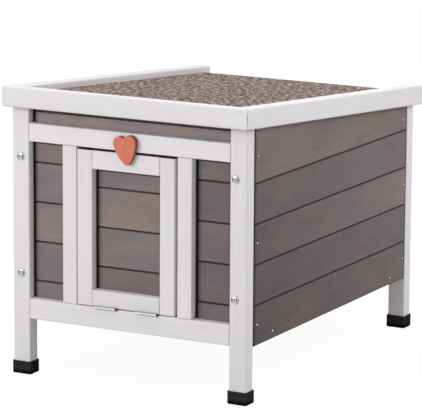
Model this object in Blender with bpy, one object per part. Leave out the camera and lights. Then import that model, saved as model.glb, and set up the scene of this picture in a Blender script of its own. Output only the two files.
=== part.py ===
"""Small outdoor cat house with a lean-to roof that lifts and a front door that folds down.

Two framed end walls stand on four posts, boarded side walls join them, a floor board lies
on battens, and the roof is a shallow frame round a felted deck, hinged along the rear wall.
X runs to the right, Y to the rear and Z up. The origin is on the ground under the middle
of the house. All sizes are in metres.
"""
import math

import bmesh
import bpy
from mathutils import Vector

# The house as a whole
BODY_WIDTH = 0.452
BODY_DEPTH = 0.648
FRONT_HEIGHT = 0.467
REAR_HEIGHT = 0.413

# Clearance between pieces that touch, and wider gaps that show
GAP = 0.0003
BOARD_END_GAP = 0.003
SIDE_BOARD_GAP = 0.0018

# Posts, their caps and the frames of the end walls
POST_WIDTH = 0.032
POST_DEPTH = 0.025
CAP_WALL = 0.002
CAP_FLOOR = 0.003
CAP_HEIGHT = 0.023
BOTTOM_RAIL_LOW = 0.099
BOTTOM_RAIL_HEIGHT = 0.036
TOP_RAIL_HEIGHT = 0.032
TOP_RAIL_BELOW_ROOF = 0.026
REAR_RAIL_HEIGHT = 0.032
JAMB_WIDTH = 0.0273
DOORWAY_WIDTH = 0.195
DOORWAY_OFFSET = -0.0026
TIMBER_EDGE = 0.002
CAP_EDGE = 0.0006

# Boards: one course height for all four walls
COURSE_LOW = 0.0955
COURSE_HEIGHT = 0.069
BOARD_JOINT = 0.0004
BOARD_CHAMFER = 0.002
END_BOARD_THICKNESS = 0.010
END_BOARD_RECESS = 0.0147
SIDE_BOARD_THICKNESS = 0.010
SIDE_BOARD_RECESS = 0.0005
TONGUE_THICKNESS = 0.003
TONGUE_LENGTH = 0.004
LEAST_STRIP = 0.012
EAVE_RISE = 0.012

# Battens inside the side walls, and the floor that they carry
BATTEN_THICKNESS = 0.018
BATTEN_WIDTH = 0.025
FLOOR_THICKNESS = 0.009

# Roof
FRONT_OVERHANG = 0.020
REAR_OVERHANG = 0.022
SIDE_OVERHANG = 0.009
TRIM_THICKNESS = 0.028
TRIM_HEIGHT = 0.035
DECK_THICKNESS = 0.006
DECK_HOUSING = 0.008
FELT_THICKNESS = 0.0025
FELT_RECESS = 0.0105
ROOF_RAIL_DEPTH = 0.025

# Butt hinges: rolled leaves on a loose pin
PIN_RADIUS = 0.0013
LEAF_THICKNESS = 0.001
HINGE_WIDTH = 0.041
DOOR_LEAF = 0.0145
ROOF_LEAF = 0.0145
DOOR_HINGE_SPACING = 0.0798
ROOF_HINGE_INSET = 0.064

# Door
DOOR_LEFT_GAP = 0.0015
DOOR_RIGHT_GAP = 0.005
DOOR_FOOT_GAP = 0.0014
DOOR_HEAD_GAP = 0.0038
STILE_WIDTH = 0.0288
DOOR_TOP_RAIL = 0.032
DOOR_BOTTOM_RAIL = 0.0282
DOOR_COURSE_LOW = 0.135
DOOR_COURSE_HEIGHT = 0.0683

# Heart-shaped turn button and its screw
HEART_WIDTH = 0.0435
HEART_HEIGHT = 0.052
HEART_THICKNESS = 0.010
HEART_OFFSET = 0.0054
HEART_TILT = math.radians(8.5)
LOBE_RADIUS = 0.0121
LOBE_TURN = math.radians(10)
HEART_EDGE = 0.0015
TIP_BELOW_DOOR_TOP = 0.0200
PIVOT_BELOW_DOOR_TOP = 0.0100
SCREW_RADIUS = 0.00175
SCREW_HEAD_RADIUS = 0.0035
SCREW_HEAD_HEIGHT = 0.0018
SCREW_BITE = 0.015

# How round shapes are divided, and which corners count as sharp
CURL_STEP = math.radians(20)
ROUND_SIDES = 12
LOBE_STEPS = 12
CHEEK_STEPS = 6
SHARP_TURN = math.radians(35)
SAME_POINT = 0.00003

# Finishes: colour, roughness and metallic value
WHITE_PAINT = ((0.74, 0.73, 0.74), 0.55, 0.0)
GREY_STAIN = ((0.205, 0.175, 0.165), 0.75, 0.0)
PLAIN_PINE = ((0.55, 0.40, 0.25), 0.70, 0.0)
BLACK_PLASTIC = ((0.010, 0.009, 0.011), 0.45, 0.0)
ROOF_FELT = ((0.150, 0.115, 0.100), 0.95, 0.0)
CORAL_PAINT = ((0.62, 0.17, 0.10), 0.50, 0.0)
ZINC = ((0.60, 0.60, 0.60), 0.35, 1.0)

# Places worked out from the sizes
SLOPE = math.atan2(FRONT_HEIGHT - REAR_HEIGHT, BODY_DEPTH)
ROOF_LENGTH = FRONT_OVERHANG + BODY_DEPTH / math.cos(SLOPE) + REAR_OVERHANG
ROOF_SPAN_Y = ROOF_LENGTH * math.cos(SLOPE) + TRIM_HEIGHT * math.sin(SLOPE)
FRONT_Y = FRONT_OVERHANG * math.cos(SLOPE) - GAP * math.sin(SLOPE) - ROOF_SPAN_Y / 2
REAR_Y = FRONT_Y + BODY_DEPTH
HALF_WIDTH = BODY_WIDTH / 2
POST_INNER = HALF_WIDTH - POST_WIDTH
POST_BACK = FRONT_Y + POST_DEPTH
REAR_POST_FRONT = REAR_Y - POST_DEPTH
BOTTOM_RAIL_TOP = BOTTOM_RAIL_LOW + BOTTOM_RAIL_HEIGHT
TOP_RAIL_TOP = FRONT_HEIGHT - TOP_RAIL_BELOW_ROOF
TOP_RAIL_LOW = TOP_RAIL_TOP - TOP_RAIL_HEIGHT
UNSAWN_TOP = max(FRONT_HEIGHT, REAR_HEIGHT) + EAVE_RISE + TRIM_HEIGHT
COURSES = 1 + math.floor((min(FRONT_HEIGHT, REAR_HEIGHT) - COURSE_LOW - LEAST_STRIP) / COURSE_HEIGHT)
DOORWAY_LEFT = DOORWAY_OFFSET - DOORWAY_WIDTH / 2
DOORWAY_RIGHT = DOORWAY_OFFSET + DOORWAY_WIDTH / 2
PIN_BORE = PIN_RADIUS + GAP
KNUCKLE_RADIUS = PIN_BORE + LEAF_THICKNESS
KNUCKLE_STANDOFF = KNUCKLE_RADIUS + GAP
DOOR_AXIS = Vector((DOORWAY_OFFSET, FRONT_Y - KNUCKLE_STANDOFF, BOTTOM_RAIL_TOP + DOOR_FOOT_GAP / 2))
ROOF_AXIS = Vector((0, REAR_Y + KNUCKLE_STANDOFF, REAR_HEIGHT + GAP / 2))


def clear_scene():
    """Start from nothing."""
    for thing in list(bpy.data.objects):
        bpy.data.objects.remove(thing, do_unlink=True)


def make_finish(name, finish):
    """A plain surface in one colour."""
    colour, roughness, metallic = finish
    material = bpy.data.materials.new(name)
    material.use_nodes = True
    shader = material.node_tree.nodes["Principled BSDF"]
    shader.inputs["Base Color"].default_value = (*colour, 1)
    shader.inputs["Roughness"].default_value = roughness
    shader.inputs["Metallic"].default_value = metallic
    material.diffuse_color = (*colour, 1)
    return material


def make_frame(name, place, parent=None, tilt=0.0):
    """An empty whose own axes the pieces under it are measured in."""
    frame = bpy.data.objects.new(name, None)
    bpy.context.collection.objects.link(frame)
    frame.parent = parent
    frame.location = place
    frame.rotation_euler = (-tilt, 0, 0)
    return frame


def face_outwards(bm):
    """Turn every face of a closed mesh to look out of it."""
    bmesh.ops.recalc_face_normals(bm, faces=bm.faces)
    if bm.calc_volume(signed=True) < 0:
        bmesh.ops.reverse_faces(bm, faces=bm.faces)


def make_piece(name, bm, finish, parent, place=(0, 0, 0)):
    """Turn a mesh under construction into a finished object."""
    face_outwards(bm)
    mesh = bpy.data.meshes.new(name)
    bm.to_mesh(mesh)
    bm.free()
    piece = bpy.data.objects.new(name, mesh)
    bpy.context.collection.objects.link(piece)
    mesh.materials.append(make_finish(name, finish))
    piece.parent = parent
    piece.location = place
    return piece


def saw(bm, point, normal):
    """Cut off what lies on the normal's side of a plane and close the cut."""
    everything = bm.verts[:] + bm.edges[:] + bm.faces[:]
    cut = bmesh.ops.bisect_plane(bm, geom=everything, plane_co=point, plane_no=normal, clear_outer=True)
    rim = [part for part in cut["geom_cut"] if isinstance(part, bmesh.types.BMEdge)]
    bmesh.ops.edgeloop_fill(bm, edges=rim)


def box_mesh(x, y, z, bm=None):
    """A box from its spans along the three axes."""
    bm = bm or bmesh.new()
    made = bmesh.ops.create_cube(bm, size=1.0)["verts"]
    size = Vector((x[1] - x[0], y[1] - y[0], z[1] - z[0]))
    middle = Vector((x[0] + x[1], y[0] + y[1], z[0] + z[1])) / 2
    bmesh.ops.scale(bm, vec=size, verts=made)
    bmesh.ops.translate(bm, vec=middle, verts=made)
    return bm


def prism_mesh(outline, along, start, end):
    """An outline of two sizes, swept from start to end; along() places a point in space."""
    bm = bmesh.new()
    base = bm.faces.new([bm.verts.new(along(start, *point)) for point in outline])
    grown = bmesh.ops.extrude_face_region(bm, geom=[base])["geom"]
    moved = [part for part in grown if isinstance(part, bmesh.types.BMVert)]
    shift = Vector(along(end, 0, 0)) - Vector(along(start, 0, 0))
    bmesh.ops.translate(bm, vec=shift, verts=moved)
    return bm


def round_bar(bm, radius, length, axis):
    """A round bar through the origin along an axis."""
    turn = Vector((0, 0, 1)).rotation_difference(Vector(axis)).to_matrix().to_4x4()
    sizes = {"radius1": radius, "radius2": radius, "depth": length}
    bmesh.ops.create_cone(bm, cap_ends=True, segments=ROUND_SIDES, matrix=turn, **sizes)


def round_over(bm, edges, width):
    """Round the given edges of a mesh."""
    form = {"segments": 2, "profile": 0.5, "affect": "EDGES", "clamp_overlap": True}
    bmesh.ops.bevel(bm, geom=edges, offset=width, **form)


def ease_edges(bm, width):
    """Round every outer corner edge of a mesh; inner corners stay square for what fits there."""
    face_outwards(bm)
    sharp = [
        edge for edge in bm.edges
        if edge.is_convex and edge.calc_face_angle() > SHARP_TURN
    ]
    round_over(bm, sharp, width)


def seat_height(y, above=0.0):
    """Height of the plane that the roof rests on, at a distance from front to rear."""
    return FRONT_HEIGHT - (y - FRONT_Y) * math.tan(SLOPE) + above / math.cos(SLOPE)


def saw_to_roof(bm, above=0.0):
    """Cut the top of a wall piece on the roof's slope."""
    saw(bm, Vector((0, FRONT_Y, seat_height(FRONT_Y, above))), Vector((0, math.sin(SLOPE), math.cos(SLOPE))))


def timber(name, x, y, z, parent, finish=WHITE_PAINT, edge=TIMBER_EDGE, to_roof=None):
    """A straight length of wood, given by its spans in its parent's frame."""
    bm = box_mesh(x, y, z)
    if to_roof is not None:
        saw_to_roof(bm, to_roof)
    if edge:
        ease_edges(bm, edge)
    middle = Vector((sum(x), sum(y), sum(z))) / 2
    bmesh.ops.translate(bm, vec=-middle, verts=bm.verts)
    return make_piece(name, bm, finish, parent, middle)


def cut_away(piece, name, bm, parent):
    """Take a hidden cutter's shape out of a piece; the cutter is placed in the parent's frame."""
    cutter = make_piece(name, bm, ZINC, parent)
    cutter.hide_render = True
    cutter.display_type = "WIRE"
    step = piece.modifiers.new(name, "BOOLEAN")
    step.operation = "DIFFERENCE"
    step.solver = "EXACT"
    step.object = cutter


def shade_round(piece):
    """Smooth shading with the real corners kept."""
    piece.data.shade_smooth()
    piece.data.set_sharp_from_angle(angle=SHARP_TURN)


def course_joints(low, high, first=COURSE_LOW, pitch=COURSE_HEIGHT):
    """Heights of the board joints that fall inside an opening."""
    count = math.ceil((high - first) / pitch)
    joints = [first + index * pitch for index in range(count + 1)]
    return [joint for joint in joints if low + LEAST_STRIP < joint < high - LEAST_STRIP]


def board_panel(name, x, face, inward, z, joints, parent, to_roof=None):
    """Boards joined edge to edge inside a frame, with a V groove at each joint.

    The grooved side lies at face, and the thickness grows from there along inward.
    """
    outline = [(0, z[0])]
    for joint in joints:
        outline += [(0, joint - BOARD_CHAMFER), (BOARD_CHAMFER, joint), (0, joint + BOARD_CHAMFER)]
    outline += [(0, z[1]), (END_BOARD_THICKNESS, z[1]), (END_BOARD_THICKNESS, z[0])]
    bm = prism_mesh(outline, lambda run, depth, height: (run, face + inward * depth, height), *x)
    if to_roof is not None:
        saw_to_roof(bm, to_roof)
    return make_piece(name, bm, GREY_STAIN, parent)


def build_posts_and_caps(house):
    """Four posts on plastic caps; their tops are cut on the roof's slope."""
    for side, sign in (("left", -1), ("right", 1)):
        x = sorted((sign * HALF_WIDTH, sign * POST_INNER))
        for end, y in (("front", (FRONT_Y, POST_BACK)), ("rear", (REAR_POST_FRONT, REAR_Y))):
            foot = CAP_FLOOR + GAP
            timber(f"{end}_{side}_post", x, y, (foot, UNSAWN_TOP), house, to_roof=0.0)
            build_cap(f"{end}_{side}_foot_cap", x, y, house)


def build_cap(name, post_x, post_y, house):
    """An open-topped cap pushed over the end of a post."""
    reach = CAP_WALL + GAP
    x = (post_x[0] - reach, post_x[1] + reach)
    y = (post_y[0] - reach, post_y[1] + reach)
    bm = box_mesh(x, y, (0, CAP_HEIGHT))
    top = max(bm.faces, key=lambda face: face.calc_center_median().z)
    bmesh.ops.inset_region(bm, faces=[top], thickness=CAP_WALL)
    bmesh.ops.translate(bm, vec=(0, 0, CAP_FLOOR - CAP_HEIGHT), verts=top.verts)
    ease_edges(bm, CAP_EDGE)
    middle = Vector((sum(x), sum(y), 0)) / 2
    bmesh.ops.translate(bm, vec=-middle, verts=bm.verts)
    make_piece(name, bm, BLACK_PLASTIC, house, middle)


def build_front_wall(house):
    """Rails and jambs flush with the posts, with recessed boards beside and over the doorway."""
    between = (-POST_INNER + GAP, POST_INNER - GAP)
    depth = (FRONT_Y, POST_BACK)
    sill = timber("front_bottom_rail", between, depth, (BOTTOM_RAIL_LOW, BOTTOM_RAIL_TOP), house)
    timber("front_top_rail", between, depth, (TOP_RAIL_LOW, TOP_RAIL_TOP), house)
    upright = (BOTTOM_RAIL_TOP + GAP, TOP_RAIL_LOW - GAP)
    left_jamb = (DOORWAY_LEFT - JAMB_WIDTH, DOORWAY_LEFT)
    right_jamb = (DOORWAY_RIGHT, DOORWAY_RIGHT + JAMB_WIDTH)
    timber("left_door_jamb", left_jamb, depth, upright, house)
    timber("right_door_jamb", right_jamb, depth, upright, house)
    face = FRONT_Y + END_BOARD_RECESS
    joints = course_joints(*upright)
    left_boards = (-POST_INNER + BOARD_END_GAP, left_jamb[0] - GAP)
    right_boards = (right_jamb[1] + BOARD_END_GAP, POST_INNER - GAP)
    board_panel("front_left_boards", left_boards, face, 1, upright, joints, house)
    board_panel("front_right_boards", right_boards, face, 1, upright, joints, house)
    eave = (-POST_INNER + BOARD_END_GAP, POST_INNER - GAP)
    eave_z = (TOP_RAIL_TOP + GAP, UNSAWN_TOP)
    board_panel("front_eave_board", eave, face, 1, eave_z, [], house, to_roof=EAVE_RISE)
    return sill


def build_rear_wall(house):
    """A plain framed and boarded wall, lower than the front one."""
    between = (-POST_INNER + GAP, POST_INNER - GAP)
    depth = (REAR_POST_FRONT, REAR_Y)
    top_rail_low = REAR_HEIGHT - REAR_RAIL_HEIGHT
    timber("rear_bottom_rail", between, depth, (BOTTOM_RAIL_LOW, BOTTOM_RAIL_TOP), house)
    timber("rear_top_rail", between, depth, (top_rail_low, UNSAWN_TOP), house, to_roof=0.0)
    z = (BOTTOM_RAIL_TOP + GAP, top_rail_low - GAP)
    boards = (-POST_INNER + GAP, POST_INNER - BOARD_END_GAP)
    board_panel("rear_boards", boards, REAR_Y - END_BOARD_RECESS, -1, z, course_joints(*z), house)


def side_board_outline(height, tongue, groove):
    """Section of one side board: V edges outside, a tongue on top and a groove underneath."""
    middle = SIDE_BOARD_THICKNESS / 2
    half_tongue = TONGUE_THICKNESS / 2
    half_groove = half_tongue + GAP
    points = [(0, BOARD_CHAMFER), (0, height - BOARD_CHAMFER), (BOARD_CHAMFER, height)]
    if tongue:
        crest = height + TONGUE_LENGTH
        points += [(middle - half_tongue, height), (middle - half_tongue, crest)]
        points += [(middle + half_tongue, crest), (middle + half_tongue, height)]
    points += [(SIDE_BOARD_THICKNESS, height), (SIDE_BOARD_THICKNESS, 0)]
    if groove:
        roof = TONGUE_LENGTH + GAP - BOARD_JOINT
        points += [(middle + half_groove, 0), (middle + half_groove, roof)]
        points += [(middle - half_groove, roof), (middle - half_groove, 0)]
    points.append((BOARD_CHAMFER, 0))
    return points


def build_side_walls(house):
    """Tongued boards between the posts, nailed to three battens on the inside."""
    run = (POST_BACK + SIDE_BOARD_GAP, REAR_POST_FRONT - SIDE_BOARD_GAP)
    face = HALF_WIDTH - SIDE_BOARD_RECESS
    batten_outer = face - SIDE_BOARD_THICKNESS - GAP
    batten_inner = batten_outer - BATTEN_THICKNESS
    front_batten = (POST_BACK + GAP, POST_BACK + GAP + BATTEN_WIDTH)
    rear_batten = (REAR_POST_FRONT - GAP - BATTEN_WIDTH, REAR_POST_FRONT - GAP)
    floor_batten = (front_batten[1] + GAP, rear_batten[0] - GAP)
    batten_low = COURSE_LOW + BOARD_JOINT
    for side, sign in (("left", -1), ("right", 1)):
        for index in range(COURSES):
            last = index == COURSES - 1
            low = COURSE_LOW + index * COURSE_HEIGHT + BOARD_JOINT / 2
            high = UNSAWN_TOP if last else low + COURSE_HEIGHT - BOARD_JOINT
            outline = side_board_outline(high - low, tongue=not last, groove=index > 0)
            bm = prism_mesh(outline, lambda y, depth, rise: (sign * (face - depth), y, low + rise), *run)
            if last:
                saw_to_roof(bm)
            make_piece(f"{side}_side_board_{index + 1}", bm, GREY_STAIN, house)
        x = sorted((sign * batten_outer, sign * batten_inner))
        upright = (batten_low, UNSAWN_TOP)
        for end, y in (("front", front_batten), ("rear", rear_batten)):
            timber(f"{side}_{end}_batten", x, y, upright, house, PLAIN_PINE, edge=0, to_roof=0.0)
        level = (batten_low, batten_low + BATTEN_WIDTH)
        timber(f"{side}_floor_batten", x, floor_batten, level, house, PLAIN_PINE, edge=0)
    build_floor(house, batten_outer, batten_inner, floor_batten, batten_low + BATTEN_WIDTH + GAP)


def build_floor(house, wide, narrow, notch_y, low):
    """A floor board notched round the four upright battens."""
    narrow -= GAP
    front = POST_BACK + GAP
    rear = REAR_POST_FRONT - GAP
    half = [(narrow, front), (narrow, notch_y[0]), (wide, notch_y[0])]
    half += [(wide, notch_y[1]), (narrow, notch_y[1]), (narrow, rear)]
    outline = half + [(-x, y) for x, y in reversed(half)]
    bm = prism_mesh(outline, lambda z, x, y: (x, y, z), low, low + FLOOR_THICKNESS)
    make_piece("floor_board", bm, PLAIN_PINE, house)


def trim_outline():
    """Section of a roof trim: depth inwards and height, with the housing for the deck."""
    felt_low = TRIM_HEIGHT - FELT_RECESS - FELT_THICKNESS
    housing_low = felt_low - DECK_THICKNESS - 2 * GAP
    back = TRIM_THICKNESS - DECK_HOUSING
    return [
        (0, 0), (TRIM_THICKNESS, 0), (TRIM_THICKNESS, housing_low), (back, housing_low),
        (back, felt_low), (TRIM_THICKNESS, felt_low), (TRIM_THICKNESS, TRIM_HEIGHT), (0, TRIM_HEIGHT),
    ]


def build_roof(roof_plane, rail_back):
    """A mitred frame of trims round a felted deck, with a rail under the deck's rear edge."""
    half = HALF_WIDTH + SIDE_OVERHANG
    inner = half - TRIM_THICKNESS
    section = trim_outline()
    mitre = Vector((1, 1, 0)).normalized()
    play = GAP / 2
    uncut = half + TRIM_THICKNESS
    bm = prism_mesh(section, lambda run, depth, rise: (run, depth, rise), -uncut, uncut)
    ease_edges(bm, TIMBER_EDGE)
    saw(bm, Vector((half - play, 0, 0)), mitre)
    saw(bm, Vector((play - half, 0, 0)), Vector((-mitre.x, mitre.y, 0)))
    make_piece("roof_front_trim", bm, WHITE_PAINT, roof_plane)
    for side, sign in (("left", -1), ("right", 1)):
        outer = sign * half
        run = (-TRIM_THICKNESS, ROOF_LENGTH)
        bm = prism_mesh(section, lambda along, depth, rise: (outer - sign * depth, along, rise), *run)
        ease_edges(bm, TIMBER_EDGE)
        saw(bm, Vector((outer, play, 0)), Vector((-sign * mitre.x, -mitre.y, 0)))
        make_piece(f"roof_{side}_trim", bm, WHITE_PAINT, roof_plane)
    felt_low = TRIM_HEIGHT - FELT_RECESS - FELT_THICKNESS
    deck_low = felt_low - GAP - DECK_THICKNESS
    rail_x = (GAP - inner, inner - GAP)
    rail_y = (rail_back - ROOF_RAIL_DEPTH, rail_back)
    timber("roof_rear_rail", rail_x, rail_y, (0, deck_low - GAP), roof_plane, edge=0)
    deck_x = (GAP - inner - DECK_HOUSING, inner + DECK_HOUSING - GAP)
    deck_front = TRIM_THICKNESS - DECK_HOUSING + GAP
    deck_z = (deck_low, deck_low + DECK_THICKNESS)
    timber("roof_deck", deck_x, (deck_front, rail_back), deck_z, roof_plane, PLAIN_PINE, edge=0)
    felt_z = (felt_low, felt_low + FELT_THICKNESS)
    timber("roof_felt", rail_x, (TRIM_THICKNESS + GAP, rail_back), felt_z, roof_plane, ROOF_FELT, edge=0)


def curl_outline(near, leaf):
    """Section of a hinge leaf rolled round its pin, as distance along the leaf and off the axis.

    The flat of the leaf lies between near and near plus its thickness from the pin's axis.
    """
    far = near + LEAF_THICKNESS
    outer_start = math.asin(min(1.0, far / KNUCKLE_RADIUS))
    inner_start = math.asin(min(1.0, near / PIN_BORE))
    end = 2 * math.pi + math.asin((near - GAP) / KNUCKLE_RADIUS)
    steps = math.ceil((end - outer_start) / CURL_STEP)
    outer = [outer_start + (end - outer_start) * step / steps for step in range(steps + 1)]
    inner = [end + (inner_start - end) * step / steps for step in range(steps + 1)]
    points = [(leaf, far)]
    points += [(KNUCKLE_RADIUS * math.cos(a), KNUCKLE_RADIUS * math.sin(a)) for a in outer]
    points += [(PIN_BORE * math.cos(a), PIN_BORE * math.sin(a)) for a in inner]
    points.append((leaf, near))
    return merged(points)


def merged(points):
    """An outline without the points that fall on the one before them."""
    kept = []
    for point in points:
        if not kept or math.dist(point, kept[-1]) > SAME_POINT:
            kept.append(point)
    return kept


def build_leaf(name, frame, x, middle_knuckle, near, leaf, along, off):
    """One hinge leaf, with notches where the other leaf's knuckles turn."""
    along = Vector(along)
    off = Vector(off)
    half = HINGE_WIDTH / 2
    split = HINGE_WIDTH / 6

    def place(run, distance, height):
        return Vector((x + run, 0, 0)) + along * distance + off * height

    piece = make_piece(name, prism_mesh(curl_outline(near, leaf), place, -half, half), ZINC, frame)
    if middle_knuckle:
        spans = [(split - GAP / 2, half + GAP), (-half - GAP, GAP / 2 - split)]
    else:
        spans = [(-split - GAP / 2, split + GAP / 2)]
    reach = KNUCKLE_RADIUS + GAP
    bm = bmesh.new()
    for span in spans:
        ends = [place(span[0], -reach, -reach), place(span[1], reach, reach)]
        sides = [sorted(pair) for pair in zip(*ends)]
        box_mesh(*sides, bm=bm)
    cut_away(piece, f"{name}_notch", bm, frame)
    shade_round(piece)


def build_pin(name, frame, x):
    """A straight pin through a hinge's three knuckles."""
    bm = bmesh.new()
    length = HINGE_WIDTH + 2 * GAP
    round_bar(bm, PIN_RADIUS, length, (1, 0, 0))
    shade_round(make_piece(name, bm, ZINC, frame, (x, 0, 0)))


def build_roof_hinges(rear_axis, roof_leaf_frame):
    """Two butt hinges: one leaf on the rear wall, the other on the roof's rear rail."""
    flat = {"near": PIN_BORE, "leaf": ROOF_LEAF, "off": (0, -1, 0)}
    place = POST_INNER - ROOF_HINGE_INSET
    for side, x in (("left", -place), ("right", place)):
        name = f"roof_hinge_{side}"
        build_leaf(f"{name}_wall_leaf", rear_axis, x, middle_knuckle=False, along=(0, 0, -1), **flat)
        build_leaf(f"{name}_roof_leaf", roof_leaf_frame, x, middle_knuckle=True, along=(0, 0, 1), **flat)
        build_pin(f"{name}_pin", rear_axis, x)


def build_door(door, sill, sill_axis):
    """Stiles, rails and boards, measured from the hinge axis at the door's foot."""
    left = DOOR_LEFT_GAP - DOORWAY_WIDTH / 2
    right = DOORWAY_WIDTH / 2 - DOOR_RIGHT_GAP
    inner_left = left + STILE_WIDTH
    inner_right = right - STILE_WIDTH
    depth = (KNUCKLE_STANDOFF, KNUCKLE_STANDOFF + POST_DEPTH)
    low = DOOR_FOOT_GAP / 2
    high = TOP_RAIL_LOW - DOOR_HEAD_GAP - DOOR_AXIS.z
    timber("door_left_stile", (left, inner_left), depth, (low, high), door)
    timber("door_right_stile", (inner_right, right), depth, (low, high), door)
    rail_x = (inner_left + GAP, inner_right - GAP)
    bottom_top = low + DOOR_BOTTOM_RAIL
    top_low = high - DOOR_TOP_RAIL
    foot = timber("door_bottom_rail", rail_x, depth, (low, bottom_top), door)
    head = timber("door_top_rail", rail_x, depth, (top_low, high), door)
    z = (bottom_top + GAP, top_low - GAP)
    joints = course_joints(*z, first=DOOR_COURSE_LOW - DOOR_AXIS.z, pitch=DOOR_COURSE_HEIGHT)
    board_x = (inner_left + BOARD_END_GAP, inner_right - GAP)
    board_panel("door_boards", board_x, depth[0] + END_BOARD_RECESS, 1, z, joints, door)
    for side, x in (("left", -DOOR_HINGE_SPACING / 2), ("right", DOOR_HINGE_SPACING / 2)):
        name = f"door_hinge_{side}"
        flat = {"near": GAP / 2, "leaf": DOOR_LEAF, "along": (0, 1, 0)}
        build_leaf(f"{name}_sill_leaf", sill_axis, x, middle_knuckle=False, off=(0, 0, -1), **flat)
        build_leaf(f"{name}_door_leaf", door, x, middle_knuckle=True, off=(0, 0, 1), **flat)
        build_pin(f"{name}_pin", sill_axis, x)
        cut_mortise(sill, f"sill_mortise_{side}", sill_axis, x, -1)
        cut_mortise(foot, f"door_mortise_{side}", door, x, 1)
    return head, high


def cut_mortise(piece, name, frame, x, sign):
    """A shallow seat that lets a hinge leaf into the wood."""
    half = HINGE_WIDTH / 2 + GAP
    deep = GAP / 2 + LEAF_THICKNESS + GAP
    z = sorted((0, sign * deep))
    cut_away(piece, name, box_mesh((x - half, x + half), (0, DOOR_LEAF + GAP), z), frame)


def heart_outline(tip):
    """A heart standing on its tip: two round lobes, and sides that swell a little.

    The side's arc is tangent to its lobe and ends in the tip.
    """
    lobe_x = HEART_WIDTH / 2 - LOBE_RADIUS
    lobe_z = tip + HEART_HEIGHT - LOBE_RADIUS
    drop = lobe_z - tip
    swell = (lobe_x ** 2 + drop ** 2 - LOBE_RADIUS ** 2) / 2
    swell /= lobe_x * math.cos(LOBE_TURN) + LOBE_RADIUS - drop * math.sin(LOBE_TURN)
    side_x = lobe_x - swell * math.cos(LOBE_TURN)
    side_z = lobe_z + swell * math.sin(LOBE_TURN)
    side_radius = swell + LOBE_RADIUS
    notch = math.pi - math.acos(lobe_x / LOBE_RADIUS)
    tip_turn = math.atan2(tip - side_z, -side_x)
    lobe = [notch - (LOBE_TURN + notch) * step / LOBE_STEPS for step in range(LOBE_STEPS + 1)]
    side = [(tip_turn + LOBE_TURN) * step / CHEEK_STEPS - LOBE_TURN for step in range(1, CHEEK_STEPS + 1)]
    right = [(lobe_x + LOBE_RADIUS * math.cos(a), lobe_z + LOBE_RADIUS * math.sin(a)) for a in lobe]
    right += [(side_x + side_radius * math.cos(a), side_z + side_radius * math.sin(a)) for a in side]
    right[0] = (0.0, right[0][1])
    right[-1] = (0.0, tip)
    left = [(-x, z) for x, z in reversed(right[1:-1])]
    return right + left


def drill(radius, start, end, frame, piece, name):
    """A round hole along Y through a piece, from start to end in the frame."""
    bm = bmesh.new()
    round_bar(bm, radius, end - start, (0, 1, 0))
    bmesh.ops.translate(bm, vec=(0, (start + end) / 2, 0), verts=bm.verts)
    cut_away(piece, name, bm, frame)


def build_heart(pivot, head):
    """The turn button on the door's top rail; it laps over the head gap and leans as it was left."""
    tip = PIVOT_BELOW_DOOR_TOP - TIP_BELOW_DOOR_TOP
    back = -GAP
    front = back - HEART_THICKNESS
    across, up = math.cos(HEART_TILT), math.sin(HEART_TILT)
    outline = [(x * across - z * up, x * up + z * across) for x, z in heart_outline(tip)]
    bm = prism_mesh(outline, lambda y, x, z: (x, y, z), back, front)
    face_outwards(bm)
    rim = [edge for edge in bm.edges if all(abs(vert.co.y - front) < GAP for vert in edge.verts)]
    round_over(bm, rim, HEART_EDGE)
    heart = make_piece("heart_button", bm, CORAL_PAINT, pivot)
    bore = SCREW_RADIUS + GAP
    drill(bore, front - SCREW_HEAD_HEIGHT, back + GAP, pivot, heart, "heart_bore")
    shade_round(heart)
    drill(bore, -SCREW_HEAD_HEIGHT, SCREW_BITE + GAP, pivot, head, "heart_screw_bore")
    seat = front - GAP
    crown = seat - SCREW_HEAD_HEIGHT
    profile = [(0, crown), (SCREW_HEAD_RADIUS / 2, crown)]
    profile += [(SCREW_HEAD_RADIUS, seat - SCREW_HEAD_HEIGHT / 3), (SCREW_HEAD_RADIUS, seat)]
    profile += [(SCREW_RADIUS, seat), (SCREW_RADIUS, SCREW_BITE - SCREW_RADIUS), (0, SCREW_BITE)]
    bm = bmesh.new()
    verts = [bm.verts.new((radius, y, 0)) for radius, y in profile]
    edges = [bm.edges.new(pair) for pair in zip(verts, verts[1:])]
    turn = {"axis": (0, 1, 0), "cent": (0, 0, 0), "angle": 2 * math.pi, "steps": ROUND_SIDES}
    bmesh.ops.spin(bm, geom=verts + edges, **turn)
    bmesh.ops.remove_doubles(bm, verts=bm.verts, dist=SAME_POINT)
    shade_round(make_piece("heart_screw", bm, ZINC, pivot))


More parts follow.
